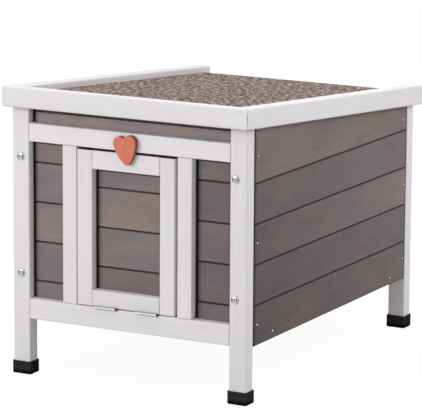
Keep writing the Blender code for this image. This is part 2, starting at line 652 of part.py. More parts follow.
def main():
    clear_scene()
    house = make_frame("house", (0, 0, 0))
    rear_axis = make_frame("rear_wall_axis", ROOF_AXIS, house)
    roof_hinge = make_frame("roof_hinge_axis", ROOF_AXIS, house)
    roof_leaf_frame = make_frame("roof_leaf_axis", (0, 0, 0), roof_hinge, SLOPE)
    down_slope = Vector((0, math.cos(SLOPE), -math.sin(SLOPE)))
    off_slope = Vector((0, math.sin(SLOPE), math.cos(SLOPE)))
    eave_edge = Vector((0, FRONT_Y, FRONT_HEIGHT)) - down_slope * FRONT_OVERHANG + off_slope * GAP
    roof_plane = make_frame("roof_plane", eave_edge - ROOF_AXIS, roof_hinge, SLOPE)
    sill_axis = make_frame("sill_axis", DOOR_AXIS, house)
    door = make_frame("door_hinge_axis", DOOR_AXIS, house)

    build_posts_and_caps(house)
    sill = build_front_wall(house)
    build_rear_wall(house)
    build_side_walls(house)
    rail_back = (ROOF_AXIS - eave_edge).dot(down_slope) - KNUCKLE_STANDOFF
    build_roof(roof_plane, rail_back)
    build_roof_hinges(rear_axis, roof_leaf_frame)
    head, door_top = build_door(door, sill, sill_axis)
    pivot_place = (HEART_OFFSET, KNUCKLE_STANDOFF, door_top - PIVOT_BELOW_DOOR_TOP)
    pivot = make_frame("heart_pivot", pivot_place, door)
    build_heart(pivot, head)


main()
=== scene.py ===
# %% [markdown]
# # An outdoor cat house
#
# The house is a small timber box on four legs. White painted posts, rails and trims frame panels of
# grey stained boards. The roof is covered with mineral felt and lifts, and the door folds down as a
# ramp. The solids come from CAD at their real size. They could be shaded as they are, but sawn and
# sanded wood has rounded edges, grain and small unevenness that plain solids lack. So the CAD stays
# as a fixed frame, and a finer piece is made over each solid that shows.

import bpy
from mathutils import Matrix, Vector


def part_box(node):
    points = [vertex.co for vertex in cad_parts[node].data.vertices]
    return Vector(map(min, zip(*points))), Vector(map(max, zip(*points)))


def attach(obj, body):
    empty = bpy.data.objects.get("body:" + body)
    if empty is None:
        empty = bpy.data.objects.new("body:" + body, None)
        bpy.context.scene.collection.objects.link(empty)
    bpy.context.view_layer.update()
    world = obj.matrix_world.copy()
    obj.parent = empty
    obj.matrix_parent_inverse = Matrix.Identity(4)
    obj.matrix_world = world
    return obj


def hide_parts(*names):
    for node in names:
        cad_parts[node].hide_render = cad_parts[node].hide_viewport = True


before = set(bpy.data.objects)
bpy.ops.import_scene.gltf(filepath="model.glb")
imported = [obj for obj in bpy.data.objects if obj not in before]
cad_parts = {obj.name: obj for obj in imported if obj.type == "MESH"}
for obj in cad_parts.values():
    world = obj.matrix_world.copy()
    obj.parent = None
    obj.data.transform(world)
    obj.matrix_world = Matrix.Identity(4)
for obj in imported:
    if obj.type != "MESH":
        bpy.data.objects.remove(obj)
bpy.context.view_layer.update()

# %% Blender's modules
import math

import bmesh
import bpy
from mathutils import Euler, Matrix, Vector, noise

scene = bpy.context.scene
scene.view_settings.view_transform = "Standard"

# %% [markdown]
# ## The camera
#
# The picture was taken a little above the roof, from the right of the front, with a long lens that
# hardly tapers the house. The place and turn could be found by eye, but the known sizes of the posts
# and boards fix them better: these numbers bring most edges to within a pixel of where they are seen.

# %% Camera
PICTURE_WIDTH = 422
FOCAL_PIXELS = 3068
EYE_PLACE = (2.51337, -4.69499, 1.34922)
EYE_ROUND_HOUSE = 28.327
EYE_TILT = 11.535
EYE_ROLL = 0.347
eye = bpy.data.cameras.new("eye")
eye.sensor_width = 36
eye.lens = FOCAL_PIXELS * eye.sensor_width / PICTURE_WIDTH
camera = bpy.data.objects.new("eye", eye)
scene.collection.objects.link(camera)
camera.location = EYE_PLACE
level_turn = Euler((math.radians(90 - EYE_TILT), 0, math.radians(EYE_ROUND_HOUSE))).to_matrix()
camera.rotation_euler = (level_turn @ Matrix.Rotation(math.radians(EYE_ROLL), 3, "Z")).to_euler()
scene.camera = camera
print("Lens in mm:", round(eye.lens, 1))

# %% [markdown]
# ## Sums on sockets
#
# A finish is a net of nodes, and its maths reads badly as a list of nodes and links. Frames and groups
# could tidy it, but a plain Python sum says more. So a small class holds a socket, and its operators
# add Math nodes. Every other node comes from one method, which sets the node's own settings first and
# then its sockets.

# %% A value in a finish
class Shade:
    """A value, a colour or a vector on its way through a finish."""

    def __init__(self, finish, socket):
        self.finish = finish
        self.socket = socket

    def sum(self, operation, *values):
        return self.finish.node("ShaderNodeMath", {"operation": operation}, dict(enumerate(values)))

    def __add__(self, other):
        return self.sum("ADD", self, other)

    def __radd__(self, other):
        return self.sum("ADD", other, self)

    def __sub__(self, other):
        return self.sum("SUBTRACT", self, other)

    def __rsub__(self, other):
        return self.sum("SUBTRACT", other, self)

    def __mul__(self, other):
        return self.sum("MULTIPLY", self, other)

    def __rmul__(self, other):
        return self.sum("MULTIPLY", other, self)

    def __truediv__(self, other):
        return self.sum("DIVIDE", self, other)

    def __rtruediv__(self, other):
        return self.sum("DIVIDE", other, self)

    def __pow__(self, other):
        return self.sum("POWER", self, other)

    def __abs__(self):
        return self.sum("ABSOLUTE", self)


# %% A finish and its nodes
class Finish:
    """The nodes of one material or world; uniform values go straight to the shader's own sockets."""

    def __init__(self, owner, slot="", **uniform):
        self.owner = owner
        self.slot = slot
        owner.use_nodes = True
        self.tree = owner.node_tree
        self.shader = self.tree.nodes.get("Principled BSDF") or self.tree.nodes["Background"]
        self.coat(**uniform)

    def feed(self, socket, value):
        if isinstance(value, Shade):
            self.tree.links.new(value.socket, socket)
        elif socket.type == "RGBA" and len(value) == 3:
            socket.default_value = (*value, 1.0)
        else:
            socket.default_value = value

    def node(self, kind, settings, sockets, out=0):
        made = self.tree.nodes.new(kind)
        for name, value in settings.items():
            if name == "stops":
                self.set_stops(made.color_ramp, value)
            else:
                setattr(made, name, value)
        for key, value in sockets.items():
            self.feed(made.inputs[key], value)
        return Shade(self, made.outputs[out])

    def set_stops(self, ramp, stops):
        while len(ramp.elements) < len(stops):
            ramp.elements.new(0.5)
        for element, (position, colour) in zip(ramp.elements, stops):
            element.position = position
            element.color = (*colour, 1.0)

    def coat(self, **shades):
        for name, shade in shades.items():
            self.feed(self.shader.inputs[name.replace("_", " ")], shade)


# %% A new material
def material(name, slot, specular=0.5, metallic=0.0):
    """A finish for the pieces of one slot of the record."""
    print("Finish:", name)
    return Finish(bpy.data.materials.new(name), slot, Metallic=metallic, Specular_IOR_Level=specular)


# %% Names for the nodes that wood needs most
def lesser(first, second):
    return first.sum("MINIMUM", first, second)


def greater(first, second):
    return first.sum("MAXIMUM", first, second)


def rise(shade, low, high):
    """0 below low, 1 above high, and a soft rise between them; low may be the higher number."""
    settings = {"interpolation_type": "SMOOTHSTEP"}
    return shade.finish.node("ShaderNodeMapRange", settings, {0: shade, 1: low, 2: high})


def parts(vector):
    first = vector.finish.node("ShaderNodeSeparateXYZ", {}, {0: vector})
    return [Shade(vector.finish, socket) for socket in first.socket.node.outputs]


def on_vector(operation, vector, *others):
    sockets = dict(enumerate((vector, *others)))
    return vector.finish.node("ShaderNodeVectorMath", {"operation": operation}, sockets)


def blend(amount, first, second, way="MIX"):
    settings = {"data_type": "RGBA", "blend_type": way}
    return amount.finish.node("ShaderNodeMix", settings, {0: amount, 6: first, 7: second}, out=2)


def shaded(amount, colour):
    """A colour made lighter or darker."""
    return amount.finish.node("ShaderNodeVectorMath", {"operation": "SCALE"}, {0: colour, "Scale": amount})


# %% Soft patches and relief
def cloud(place, number, scale, drawn_out=1.0, detail=2.0, roughness=0.5):
    """Soft patches about 1/scale metres across; drawn_out stretches them along the grain."""
    place = on_vector("MULTIPLY", place, (1 / drawn_out, 1, 1))
    sockets = {"Vector": place, "W": number, "Scale": scale, "Detail": detail, "Roughness": roughness}
    return place.finish.node("ShaderNodeTexNoise", {"noise_dimensions": "4D"}, sockets)


def relief(height, depth, strength=1.0):
    """A bump of that many metres for heights from 0 to 1."""
    sockets = {"Height": height, "Distance": depth, "Strength": strength}
    return height.finish.node("ShaderNodeBump", {}, sockets)


# %% [markdown]
# ## What a timber tells its finish
#
# Grain has to run along each timber, and no two may look alike. Texture coordinates of the object would
# run through all the pieces as if they were one block. So each timber's mesh carries three vectors:
# the place along, across and through the timber from its middle, its half sizes, and its own number,
# tone and warmth. From the first two a finish also knows how far it is to the nearest edge. A fourth
# value, from 0 to 1, tells how much painted shade, or bare sawn wood, a point shows.

# %% Reading those vectors in a finish
def carried(finish, name, out="Vector"):
    return finish.node("ShaderNodeAttribute", {"attribute_name": name}, {}, out=out)


def read_shade_or_bare(finish):
    return carried(finish, "hidden", out="Fac")


def depths(place, half):
    """Metres from a point to the timber's ends, sides and faces; below 0 beyond them."""
    return parts(on_vector("SUBTRACT", half, on_vector("ABSOLUTE", place)))


def edge_distance(place, half):
    """Metres from a point on a face to the timber's nearest edge: the middle one of the three depths."""
    along, across, through = depths(place, half)
    return greater(lesser(along, across), lesser(greater(along, across), through))


# %% [markdown]
# ## White paint
#
# The frame timbers are brushed with an opaque white, a thin coat through which the grain still shows as
# faint streaks. A single white would look like plastic. So the colour changes by a few hundredths along
# the grain, thins a little on the rounded edges, and a shallow bump follows the brush. Rebates, the door's
# head gap and the gaps in the trims' mitres are painted dark as shade, and the trims' undersides get a
# lighter painted shade.

# %% Finish: brushed white
FULL_PAINT = (0.745, 0.718, 0.738)
THIN_PAINT = (0.70, 0.66, 0.65)
PAINTED_SHADE = (0.062, 0.050, 0.050)
white = material("brushed_white", "white_paint", specular=0.4)
place = carried(white, "place")
half = carried(white, "half")
number, tone, _ = parts(carried(white, "own"))
bristles = cloud(place, number, 420, drawn_out=30, detail=3)
figure = cloud(place, number + 5, 90, drawn_out=14, detail=3)
patches = cloud(place, number + 9, 16, drawn_out=2.5)
thin = 1 - rise(edge_distance(place, half), 0.0003, 0.0022)
level = 0.845 + 0.07 * bristles + 0.16 * figure + 0.08 * patches + 0.05 * tone - 0.05 * thin
paint = blend(thin * 0.35, FULL_PAINT, THIN_PAINT)
# Painted shade: rebates, the door's head gap, mitre gaps and trim undersides turn dark.
paint = blend(rise(read_shade_or_bare(white), 0.3, 0.9), shaded(level, paint), PAINTED_SHADE)
white.coat(Base_Color=paint, Roughness=0.42 + 0.2 * patches + 0.1 * thin)
white.coat(Normal=relief(0.6 * bristles + 0.4 * figure, 0.00035, 0.6))

# %% [markdown]
# ## Grey stain
#
# The boards are softwood under a thin grey-brown stain, which soaks in unevenly: early wood takes more
# of it than the hard late wood. Grooves, and boards just under a rail or trim, get painted shade.
# The growth rings could be a wave texture, but its lines are too regular. Here they are the distance
# from a pith that wanders below the board, cut into rings, which gives long flames and straight lines
# by turns as in a real plank.

# %% Growth rings of a sawn plank
def growth_rings(place, number, pitch, wander):
    """From 0 at the start of a year's wood to 1 at its hard dark end."""
    bend = cloud(place, number, 5.5, drawn_out=3.0, detail=1.5)
    ripple = cloud(place, number + 3, 45, drawn_out=7.0)
    shift = (bend - 0.5) * wander + (ripple - 0.5) * 0.004
    _, across, through = parts(place)
    side = across + shift + 0.02 * number.sum("SINE", number * 2.3)
    below = through + 0.045 + shift * 0.6
    rings = ((side * side + below * below) ** 0.5) / pitch
    return rings.sum("FRACT", rings)


# %% Finish: grey stain
COOL_GREY = (0.172, 0.161, 0.172)
PLUM_GREY = (0.184, 0.150, 0.164)
BROWN_GREY = (0.226, 0.173, 0.152)
stain = material("grey_wood_stain", "grey_stain", specular=0.3)
place = carried(stain, "place")
half = carried(stain, "half")
number, tone, warmth = parts(carried(stain, "own"))
year = growth_rings(place, number, 0.0042, 0.07) ** 2.5
fibres = cloud(place, number + 11, 700, drawn_out=40, detail=2)
streaks = cloud(place, number + 13, 160, drawn_out=16, detail=4)
soak = cloud(place, number + 17, 22, drawn_out=2.6, detail=3)
drift = cloud(place, number + 19, 17, drawn_out=1.8, detail=3)
blotch = cloud(place, number + 23, 8, drawn_out=2.0)
base = blend(rise(drift, 0.38, 0.62), COOL_GREY, PLUM_GREY)
base = blend(0.42 + 0.42 * warmth + 2.6 * (soak - 0.5), base, BROWN_GREY)
# Painted shade near a board's edges: dark in the V-grooves and under a rail or trim.
beyond_side = 0 - depths(place, half)[1]
groove = 1 - rise(edge_distance(place, half), 0.0011, 0.0019)
groove = groove * (1 - rise(beyond_side, 0.0045, 0.0060))
level = 0.74 + 0.18 * soak + 0.32 * blotch - 0.03 * year
level = level + 0.22 * (streaks - 0.5) + 0.10 * (fibres - 0.5)
level = level * (1 + 0.25 * tone) * (1 - 0.84 * groove)
stain.coat(Base_Color=shaded(level, base), Roughness=0.62 + 0.16 * fibres + 0.08 * year)
stain.coat(Normal=relief(fibres * 0.5 + year * 0.5, 0.0004, 0.7))

# %% [markdown]
# ## Bare pine
#
# Inside, and under the roof, the wood is left bare: pale pine with honey-coloured rings and a few knots.
# It hardly shows while the house is shut, but the roof lifts and the door folds down.

# %% Finish: bare pine
EARLY_WOOD = (0.60, 0.44, 0.27)
LATE_WOOD = (0.46, 0.28, 0.13)
KNOT_WOOD = (0.20, 0.095, 0.04)
pine = material("bare_pine", "plain_pine", specular=0.35)
place = carried(pine, "place")
number, tone, _ = parts(carried(pine, "own"))
year = growth_rings(place, number, 0.0055, 0.09) ** 3
fibres = cloud(place, number + 11, 600, drawn_out=40, detail=2)
blotch = cloud(place, number + 23, 6, drawn_out=2.5)
spots = on_vector("MULTIPLY", place, (4.5, 9.0, 9.0))
sockets = {"Vector": spots, "W": number, "Scale": 1.0, "Randomness": 1.0}
to_knot = pine.node("ShaderNodeTexVoronoi", {"voronoi_dimensions": "4D"}, sockets)
knot = 1 - rise(to_knot, 0.05, 0.13)
wood = blend(knot, blend(year * 0.75, EARLY_WOOD, LATE_WOOD), KNOT_WOOD)
level = 0.86 + 0.16 * blotch + 0.08 * (fibres - 0.5) + 0.10 * tone
pine.coat(Base_Color=shaded(level, wood), Roughness=0.60 + 0.15 * fibres - 0.1 * knot)
pine.coat(Normal=relief(fibres * 0.5 + year * 0.5, 0.0003, 0.6))

# %% [markdown]
# ## Roofing felt
#
# The felt is bitumen with crushed slate rolled into it. Each granule has its own colour, from tan to
# nearly black. A noise would blur them, so cells of a Voronoi texture give one colour per granule, and
# broader patches show where the felt holds fewer of them.

# %% Finish: mineral felt
felt = material("mineral_felt", "roof_felt", specular=0.25)
place = carried(felt, "place")
sockets = {"Vector": place, "Scale": 620.0, "Randomness": 1.0}
granule = felt.node("ShaderNodeTexVoronoi", {"voronoi_dimensions": "3D"}, sockets, out="Color")
middle = felt.node("ShaderNodeTexVoronoi", {"voronoi_dimensions": "3D"}, sockets, out="Distance")
pick, gloss, _ = parts(granule)
tufts = cloud(place, 2.0, 125, detail=3, roughness=0.65)
patches = cloud(place, 4.0, 12, detail=2)
stops = [(0.0, (0.020, 0.014, 0.013)), (0.30, (0.10, 0.070, 0.061)), (0.52, (0.26, 0.19, 0.168))]
stops += [(0.75, (0.44, 0.34, 0.30)), (1.0, (0.78, 0.66, 0.59))]
mix = pick * 0.35 + (tufts - 0.5) * 3.6 + patches * 0.16 + 0.17
stone = felt.node("ShaderNodeValToRGB", {"stops": stops}, {0: mix})
felt.coat(Base_Color=stone, Roughness=0.82 + 0.12 * gloss)
felt.coat(Normal=relief(1 - middle * 1.4, 0.0009, 0.8))

# %% [markdown]
# ## Black plastic, coral paint and zinc
#
# The feet stand in moulded caps with a fine spark-eroded texture, darker towards the sole, with a painted
# sheen across the middle of the broad faces. The heart has a coral gloss paint, brushed along its own
# grain, over brown sawn sides. Bolts, nails and hinges are zinc plated steel, bright where it is rubbed
# and dull elsewhere. One grey would do for each from afar, but small metal is read by its light and dark
# marks; the dark ones here are painted shade.

# %% Finish: moulded black plastic
SOFT_BLACK = (0.0250, 0.0225, 0.0244)
plastic = material("moulded_black", "black_plastic", specular=0.0)
place = carried(plastic, "place")
half = carried(plastic, "half")
pits = cloud(place, 1.0, 1500, detail=2)
smear = cloud(place, 2.0, 60, detail=3)
rubbed = 1 - rise(edge_distance(place, half), 0.0002, 0.0020)
above_sole = parts(place)[0] + parts(half)[0]
# Darker towards the sole; a painted sheen across the middle of the front and back faces.
near_sole = 1 - rise(above_sole, 0.0025, 0.0095)
painted_sheen = rise(above_sole, 0.006, 0.011) * (1 - rise(above_sole, 0.012, 0.019))
painted_sheen = painted_sheen * (1 - rise(depths(place, half)[2], 0.0005, 0.0020))
level = (0.7 + 0.5 * smear + 0.8 * rubbed) * (1 - 0.82 * near_sole) * (1 + 0.4 * painted_sheen)
plastic.coat(Base_Color=shaded(level, SOFT_BLACK), Roughness=0.42 + 0.2 * smear - 0.08 * rubbed)
plastic.coat(Normal=relief(pits, 0.00012, 0.7))

# %% Finish: coral paint
SAWN_BROWN = (0.215, 0.062, 0.028)
coral = material("coral_gloss", "coral_paint", specular=0.45)
place = carried(coral, "place")
bristles = cloud(place, 1.0, 500, drawn_out=25, detail=3)
patches = cloud(place, 3.0, 60, drawn_out=3, detail=2)
paint = blend(patches, (0.59, 0.136, 0.073), (0.69, 0.199, 0.117))
paint = blend(rise(read_shade_or_bare(coral), 0.1, 0.9), paint, SAWN_BROWN)
coral.coat(Base_Color=shaded(0.92 + 0.16 * bristles, paint), Roughness=0.38 + 0.18 * patches)
coral.coat(Normal=relief(bristles, 0.0003, 0.6))

# %% Finish: coral over a screw's head, with pale patches as a painted highlight and painted shade round its rim
coral_head = material("coral_over_steel", "zinc", specular=0.6)
place = carried(coral_head, "place")
patches = cloud(place, 4.0, 300, detail=2)
# Pale coral patches are a painted highlight; the rim and recess take painted shade.
paint = blend(rise(patches, 0.35, 0.6), (0.68, 0.20, 0.12), (0.84, 0.44, 0.34))
paint = blend(rise(read_shade_or_bare(coral_head), 0.1, 0.8), paint, (0.26, 0.055, 0.030))
coral_head.coat(Base_Color=paint, Roughness=0.25 + 0.1 * patches)
coral_head.coat(Normal=relief(patches, 0.0001, 0.5))

# %% Finish: zinc plate, with painted shade where the door hinges' knuckles meet the wood
def middle_of(node):
    low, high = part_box(node)
    return (low + high) / 2


DOOR_AXIS = middle_of("door_hinge_left_pin")
KNUCKLE_SHADE_COLOUR = (0.06, 0.055, 0.055)
zinc = material("zinc_plate", "zinc", metallic=1.0)
place = zinc.node("ShaderNodeTexCoord", {}, {}, out="Object")
_, deep, up = parts(place)
bloom = cloud(place, 1.0, 300, detail=3)
scratch = cloud(place, 2.0, 1400, drawn_out=12, detail=2)
plate = blend(bloom, (0.50, 0.495, 0.505), (0.62, 0.61, 0.62))
from_axis = abs(up - DOOR_AXIS.z)
knuckle_shade = rise(from_axis, 0.0015, 0.0021) * (1 - rise(from_axis, 0.0030, 0.0034))
knuckle_shade = knuckle_shade * rise(deep, DOOR_AXIS.y + 0.0079, DOOR_AXIS.y + 0.0054)
plate = blend(0.65 * knuckle_shade, plate, KNUCKLE_SHADE_COLOUR)
zinc.coat(Base_Color=plate, Roughness=0.46 + 0.22 * bloom + 0.06 * scratch)
zinc.coat(Normal=relief(scratch, 0.00008, 0.5))

# %% Finish: bolt heads, with painted shade in the recess and under the rim
bolt_zinc = material("bolt_head_zinc", "zinc", metallic=1.0)
place = carried(bolt_zinc, "place")
recess = read_shade_or_bare(bolt_zinc)
bloom = cloud(place, 1.0, 700, detail=3)
plate = blend(bloom, (0.50, 0.50, 0.505), (0.66, 0.66, 0.67))
# Painted shade in the recess, under the rim and low on two sides of each head.
plate = blend(rise(recess, 0.2, 0.8), plate, (0.045, 0.045, 0.048))
bolt_zinc.coat(Base_Color=plate, Roughness=0.20 + 0.16 * bloom + 0.3 * recess)
bolt_zinc.coat(Normal=relief(bloom, 0.00006, 0.4))

# %% Finish: blackened steel of the hinge pins
dark_steel = material("blackened_steel", "zinc", specular=0.05)
place = dark_steel.node("ShaderNodeTexCoord", {}, {}, out="Object")
bloom = cloud(place, 5.0, 900, detail=3)
soot = blend(bloom, (0.004, 0.004, 0.005), (0.010, 0.009, 0.009))
dark_steel.coat(Base_Color=soot, Roughness=0.4 + 0.2 * bloom)

# %% [markdown]
# ## Floor and light
#
# The house stands on a pale seamless floor under soft, even studio light. A bright floor is often made
# by flooding it with light, but that would bleach the white paint too. Instead the lamps stay at a level
# at which paint looks as pale as it is, and only what the camera or a reflection sees of the world and
# the floor is lifted to white. The floor keeps a part of its own shading, and so the shadow.

# %% Who looks: the camera and reflections, but not the light that bounces
def looked_at(finish):
    kinds = ("Is Camera Ray", "Is Glossy Ray", "Is Transmission Ray")
    direct, mirrored, through = [finish.node("ShaderNodeLightPath", {}, {}, out=kind) for kind in kinds]
    return greater(greater(direct, mirrored), through)


# %% World
SKY_LEVEL = 0.71
PLAIN_WHITE = (1.0, 1.0, 1.0)
studio = Finish(bpy.data.worlds.new("studio"), Color=PLAIN_WHITE)
scene.world = studio.owner
seen = looked_at(studio)
studio.coat(Strength=SKY_LEVEL + (1 - SKY_LEVEL) * seen)

# %% Floor
FLOOR_RADIUS = 14
FLOOR_GAP = 0.0003
FLOOR_GREY = (0.50, 0.50, 0.50)
FLOOR_LIFT = 0.95
bm = bmesh.new()
bmesh.ops.create_circle(bm, cap_ends=True, segments=96, radius=FLOOR_RADIUS)
bmesh.ops.translate(bm, vec=(0, 0, -FLOOR_GAP), verts=bm.verts)
mesh = bpy.data.meshes.new("floor")
bm.to_mesh(mesh)
bm.free()
floor = bpy.data.objects.new("floor", mesh)
scene.collection.objects.link(floor)
pale = material("pale_floor", "", specular=0.0)
seen = looked_at(pale)
pale.coat(Base_Color=blend(seen, FLOOR_GREY, PLAIN_WHITE), Roughness=1.0)
glow = pale.node("ShaderNodeEmission", {}, {"Color": PLAIN_WHITE, "Strength": 1.0})
matt = Shade(pale, pale.shader.outputs[0])
lifted = pale.node("ShaderNodeMixShader", {}, {0: seen * FLOOR_LIFT, 1: matt, 2: glow})
pale.feed(pale.tree.nodes["Material Output"].inputs["Surface"], lifted)
mesh.materials.append(pale.owner)


# %% Lamps
HOUSE_MIDDLE = Vector((0, 0, 0.25))
LAMP_DISTANCE = 4.6


def softbox(name, round_house, height, size, watts):
    """A square lamp that faces the house; round_house is 0 degrees in front of it and 90 at its right."""
    lamp = bpy.data.lights.new(name, "AREA")
    lamp.size = size
    lamp.energy = watts
    holder = bpy.data.objects.new(name, lamp)
    turn = math.radians(round_house)
    lift = math.radians(height)
    way = Vector((math.sin(turn) * math.cos(lift), -math.cos(turn) * math.cos(lift), math.sin(lift)))
    holder.location = HOUSE_MIDDLE + way * LAMP_DISTANCE
    holder.rotation_euler = way.to_track_quat("Z", "Y").to_euler()
    scene.collection.objects.link(holder)
    print(name, "in watts:", watts)


softbox("front_softbox", round_house=-25, height=17, size=1.6, watts=65)
softbox("side_softbox", round_house=100, height=38, size=1.6, watts=55)
softbox("top_softbox", round_house=0, height=88, size=2.6, watts=63)

# %% [markdown]
# ## Making a timber
#
# A planed timber is a long block whose edges are rounded by sanding, cut square, on a slope or to a
# mitre. A cube with a Bevel modifier would do for the shape. But its long faces would be single flat
# quads that can't carry the small unevenness of real wood. So the section is drawn once, with its
# rounded corners, and set at many stations along the timber, the last ones a little smaller for the
# eased ends.

# %% A share between 0 and 1
def clamped(share):
    return min(1, max(0, share))


# %% The section of a timber
def section(corners, spacing=0.007, steps=3):
    """Points round a closed outline; each corner is (a, b, radius of its rounding)."""
    arcs = []
    for index, (a, b, radius) in enumerate(corners):
        here = Vector((a, b))
        before = Vector(corners[index - 1][:2]) - here
        after = Vector(corners[(index + 1) % len(corners)][:2]) - here
        if radius == 0:
            arcs.append([here])
            continue
        reach = radius / math.tan(before.angle(after) / 2)
        start = here + before.normalized() * reach
        end = here + after.normalized() * reach
        turns = [step / steps for step in range(steps + 1)]
        arcs.append([start.lerp(here, t).lerp(here.lerp(end, t), t) for t in turns])
    points = []
    for arc, following in zip(arcs, arcs[1:] + arcs[:1]):
        points += arc
        gap = following[0] - arc[-1]
        pieces = max(1, math.ceil(gap.length / spacing))
        points += [arc[-1] + gap * step / pieces for step in range(1, pieces)]
    return points


def rounded_block(low, high, edge):
    """Corners of an oblong section with the same rounding at each."""
    spots = [(low[0], low[1]), (high[0], low[1]), (high[0], high[1]), (low[0], high[1])]
    return [(a, b, edge) for a, b in spots]


# %% Which way each point of a section faces
def outward_ways(outline):
    following = outline[1:] + outline[:1]
    before = outline[-1:] + outline[:-1]
    area = sum(a.x * b.y - b.x * a.y for a, b in zip(outline, following))
    along = [after - earlier for earlier, after in zip(before, following)]
    return [Vector((way.y, -way.x)).normalized() * math.copysign(1, area) for way in along]


# %% Stations along a timber
def stations(length, ease, spacing=0.012):
    """Share of the length, push from the end and inset of the section, at each station."""
    count = max(2, math.ceil(length / spacing))
    between = [(step / count, 0.0, 0.0) for step in range(1, count)]
    if not ease:
        return [(0.0, 0.0, 0.0), *between, (1.0, 0.0, 0.0)]
    turns = (0, 0.5, 1.0, math.pi / 2)
    tip = [(ease * (1 - math.cos(turn)), ease * (1 - math.sin(turn))) for turn in turns]
    start = [(0.0, push, inset) for push, inset in tip]
    return start + between + [(1.0, -push, inset) for push, inset in reversed(tip)]


# %% Rings of points become a skin
def skin(rings):
    """A closed mesh through rings of equally many points."""
    bm = bmesh.new()
    rows = [[bm.verts.new(point) for point in ring] for ring in rings]
    for row, following in zip(rows, rows[1:]):
        for index in range(len(row)):
            bm.faces.new((row[index - 1], row[index], following[index], following[index - 1]))
    bm.faces.new(rows[0][::-1])
    bm.faces.new(rows[-1])
    if bm.calc_volume(signed=True) < 0:
        bmesh.ops.reverse_faces(bm, faces=bm.faces)
    return bm


# %% From a mesh to a piece of the house
pieces_made = []


def put_up(name, bm, finish, body, stands_for=()):
    """Names, smooths and finishes a piece, and lets it ride on its body."""
    mesh = bpy.data.meshes.new(name)
    bm.to_mesh(mesh)
    bm.free()
    mesh.shade_smooth()
    mesh.materials.append(finish.owner)
    piece = bpy.data.objects.new(name, mesh)
    scene.collection.objects.link(piece)
    piece.modifiers.new("even_normals", "WEIGHTED_NORMAL")
    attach(piece, body)
    if stands_for:
        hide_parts(*stands_for)
    pieces_made.append(name)
    return piece


def tell(what):
    """Prints how far the house has come."""
    print(f"{what} done, {len(pieces_made)} pieces so far")


# %% What a piece tells its finish
def carry(piece, name, vectors):
    layer = piece.data.attributes.new(name, "FLOAT_VECTOR", "POINT")
    layer.data.foreach_set("vector", [number for vector in vectors for number in vector])


def set_shade_or_bare(piece, shares):
    """Tells the finish how much painted shade, or bare sawn wood, each point shows, from 0 to 1."""
    layer = piece.data.attributes.new("hidden", "FLOAT", "POINT")
    layer.data.foreach_set("value", shares)


def mark_timber(piece, low, high, axes, turn=None, **look):
    """Gives a piece the vectors that its finish reads; lean changes the tone from end to end."""
    points = [vertex.co for vertex in piece.data.vertices]
    if turn is not None:
        back = turn.inverted()
        points = [back @ point for point in points]
    middle = (Vector(low) + Vector(high)) / 2
    half = (Vector(high) - Vector(low)) / 2
    along, across, through = axes
    number = 3.7 * len(pieces_made)
    tone, warmth, lean = [look.get(name, 0.0) for name in ("tone", "warmth", "lean")]
    from_middle = [point - middle for point in points]
    carry(piece, "place", [(p[along], p[across], p[through]) for p in from_middle])
    carry(piece, "half", [(half[along], half[across], half[through])] * len(points))
    carry(piece, "own", [(number, tone + lean * p[along] / half[along], warmth) for p in from_middle])
    if "hidden" in look:
        set_shade_or_bare(piece, [float(look["hidden"](point)) for point in points])


# %% A timber between two corners
AXES = {"x": 0, "y": 1, "z": 2}
WAVE_DEPTH = 0.00022
WAVES_PER_METRE = 70
WAVES_ALONG_GRAIN = 0.2


def unevenness(point, along, number):
    """How far a planed face lies below its plane at a point; the waves are long along the grain."""
    wave = point * WAVES_PER_METRE + Vector((3.1, 5.7, 1.9)) * number
    wave[along] *= WAVES_ALONG_GRAIN
    return WAVE_DEPTH * (0.5 + 0.5 * noise.noise(wave))


def timber(name, low, high, grain, finish, body, stands_for=(), **cut):
    """A timber whose grain letters name its axes along, across and through, such as "xzy"."""
    along, across, through = axes = [AXES[letter] for letter in grain]
    edge = cut.get("edge", 0.002)
    block = rounded_block((low[across], low[through]), (high[across], high[through]), edge)
    outline = section(cut.get("corners") or block)
    ways = outward_ways(outline)
    start, end = cut.get("ends", (None, None))
    rings = []
    for share, push, inset in stations(high[along] - low[along], cut.get("ease", 0.0008)):
        ring = []
        for here, way in zip(outline, ways):
            point = Vector((0, 0, 0))
            point[across], point[through] = here
            near = start(point) if start else low[along]
            far = end(point) if end else high[along]
            point[along] = near + (far - near) * share + push
            sunk = inset + unevenness(point, along, len(pieces_made))
            point[across] -= way.x * sunk
            point[through] -= way.y * sunk
            ring.append(cut["work"](point) if "work" in cut else point)
        rings.append(ring)
    bm = skin(rings)
    turn = cut.get("turn")
    if turn is not None:
        bmesh.ops.transform(bm, matrix=turn, verts=bm.verts)
    piece = put_up(name, bm, finish, body, stands_for)
    look = {key: cut[key] for key in ("tone", "warmth", "lean", "hidden") if key in cut}
    mark_timber(piece, low, high, axes, turn, **look)


# %% [markdown]
# Two cuts come back on several timbers. A top that follows the roof is drawn square first, and its upper
# half is then stretched or shortened to the slope. A rebate is a step in a timber's side, in which the
# boards end; its faces are painted dark as shade, and seen at a slant they are the dark line at the left
# of each panel.

# %% Cuts
ROOF_FALL = 54 / 648
REBATE_DEPTH = 0.0014
REBATE_WIDTH = 0.0023
SHADE_WIDTH = 0.0045


def slope_from(node):
    """Height of a sloping top over any point, from the node's highest front edge."""
    low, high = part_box(node)
    return lambda point: high.z - (point.y - low.y) * ROOF_FALL


def cut_to(slope, low_z, high_z):
    """Work that brings a square top to a slope."""
    middle = (low_z + high_z) / 2

    def work(point):
        if point.z > middle:
            point.z = middle + (point.z - middle) * (slope(point) - middle) / (high_z - middle)
        return point

    return work


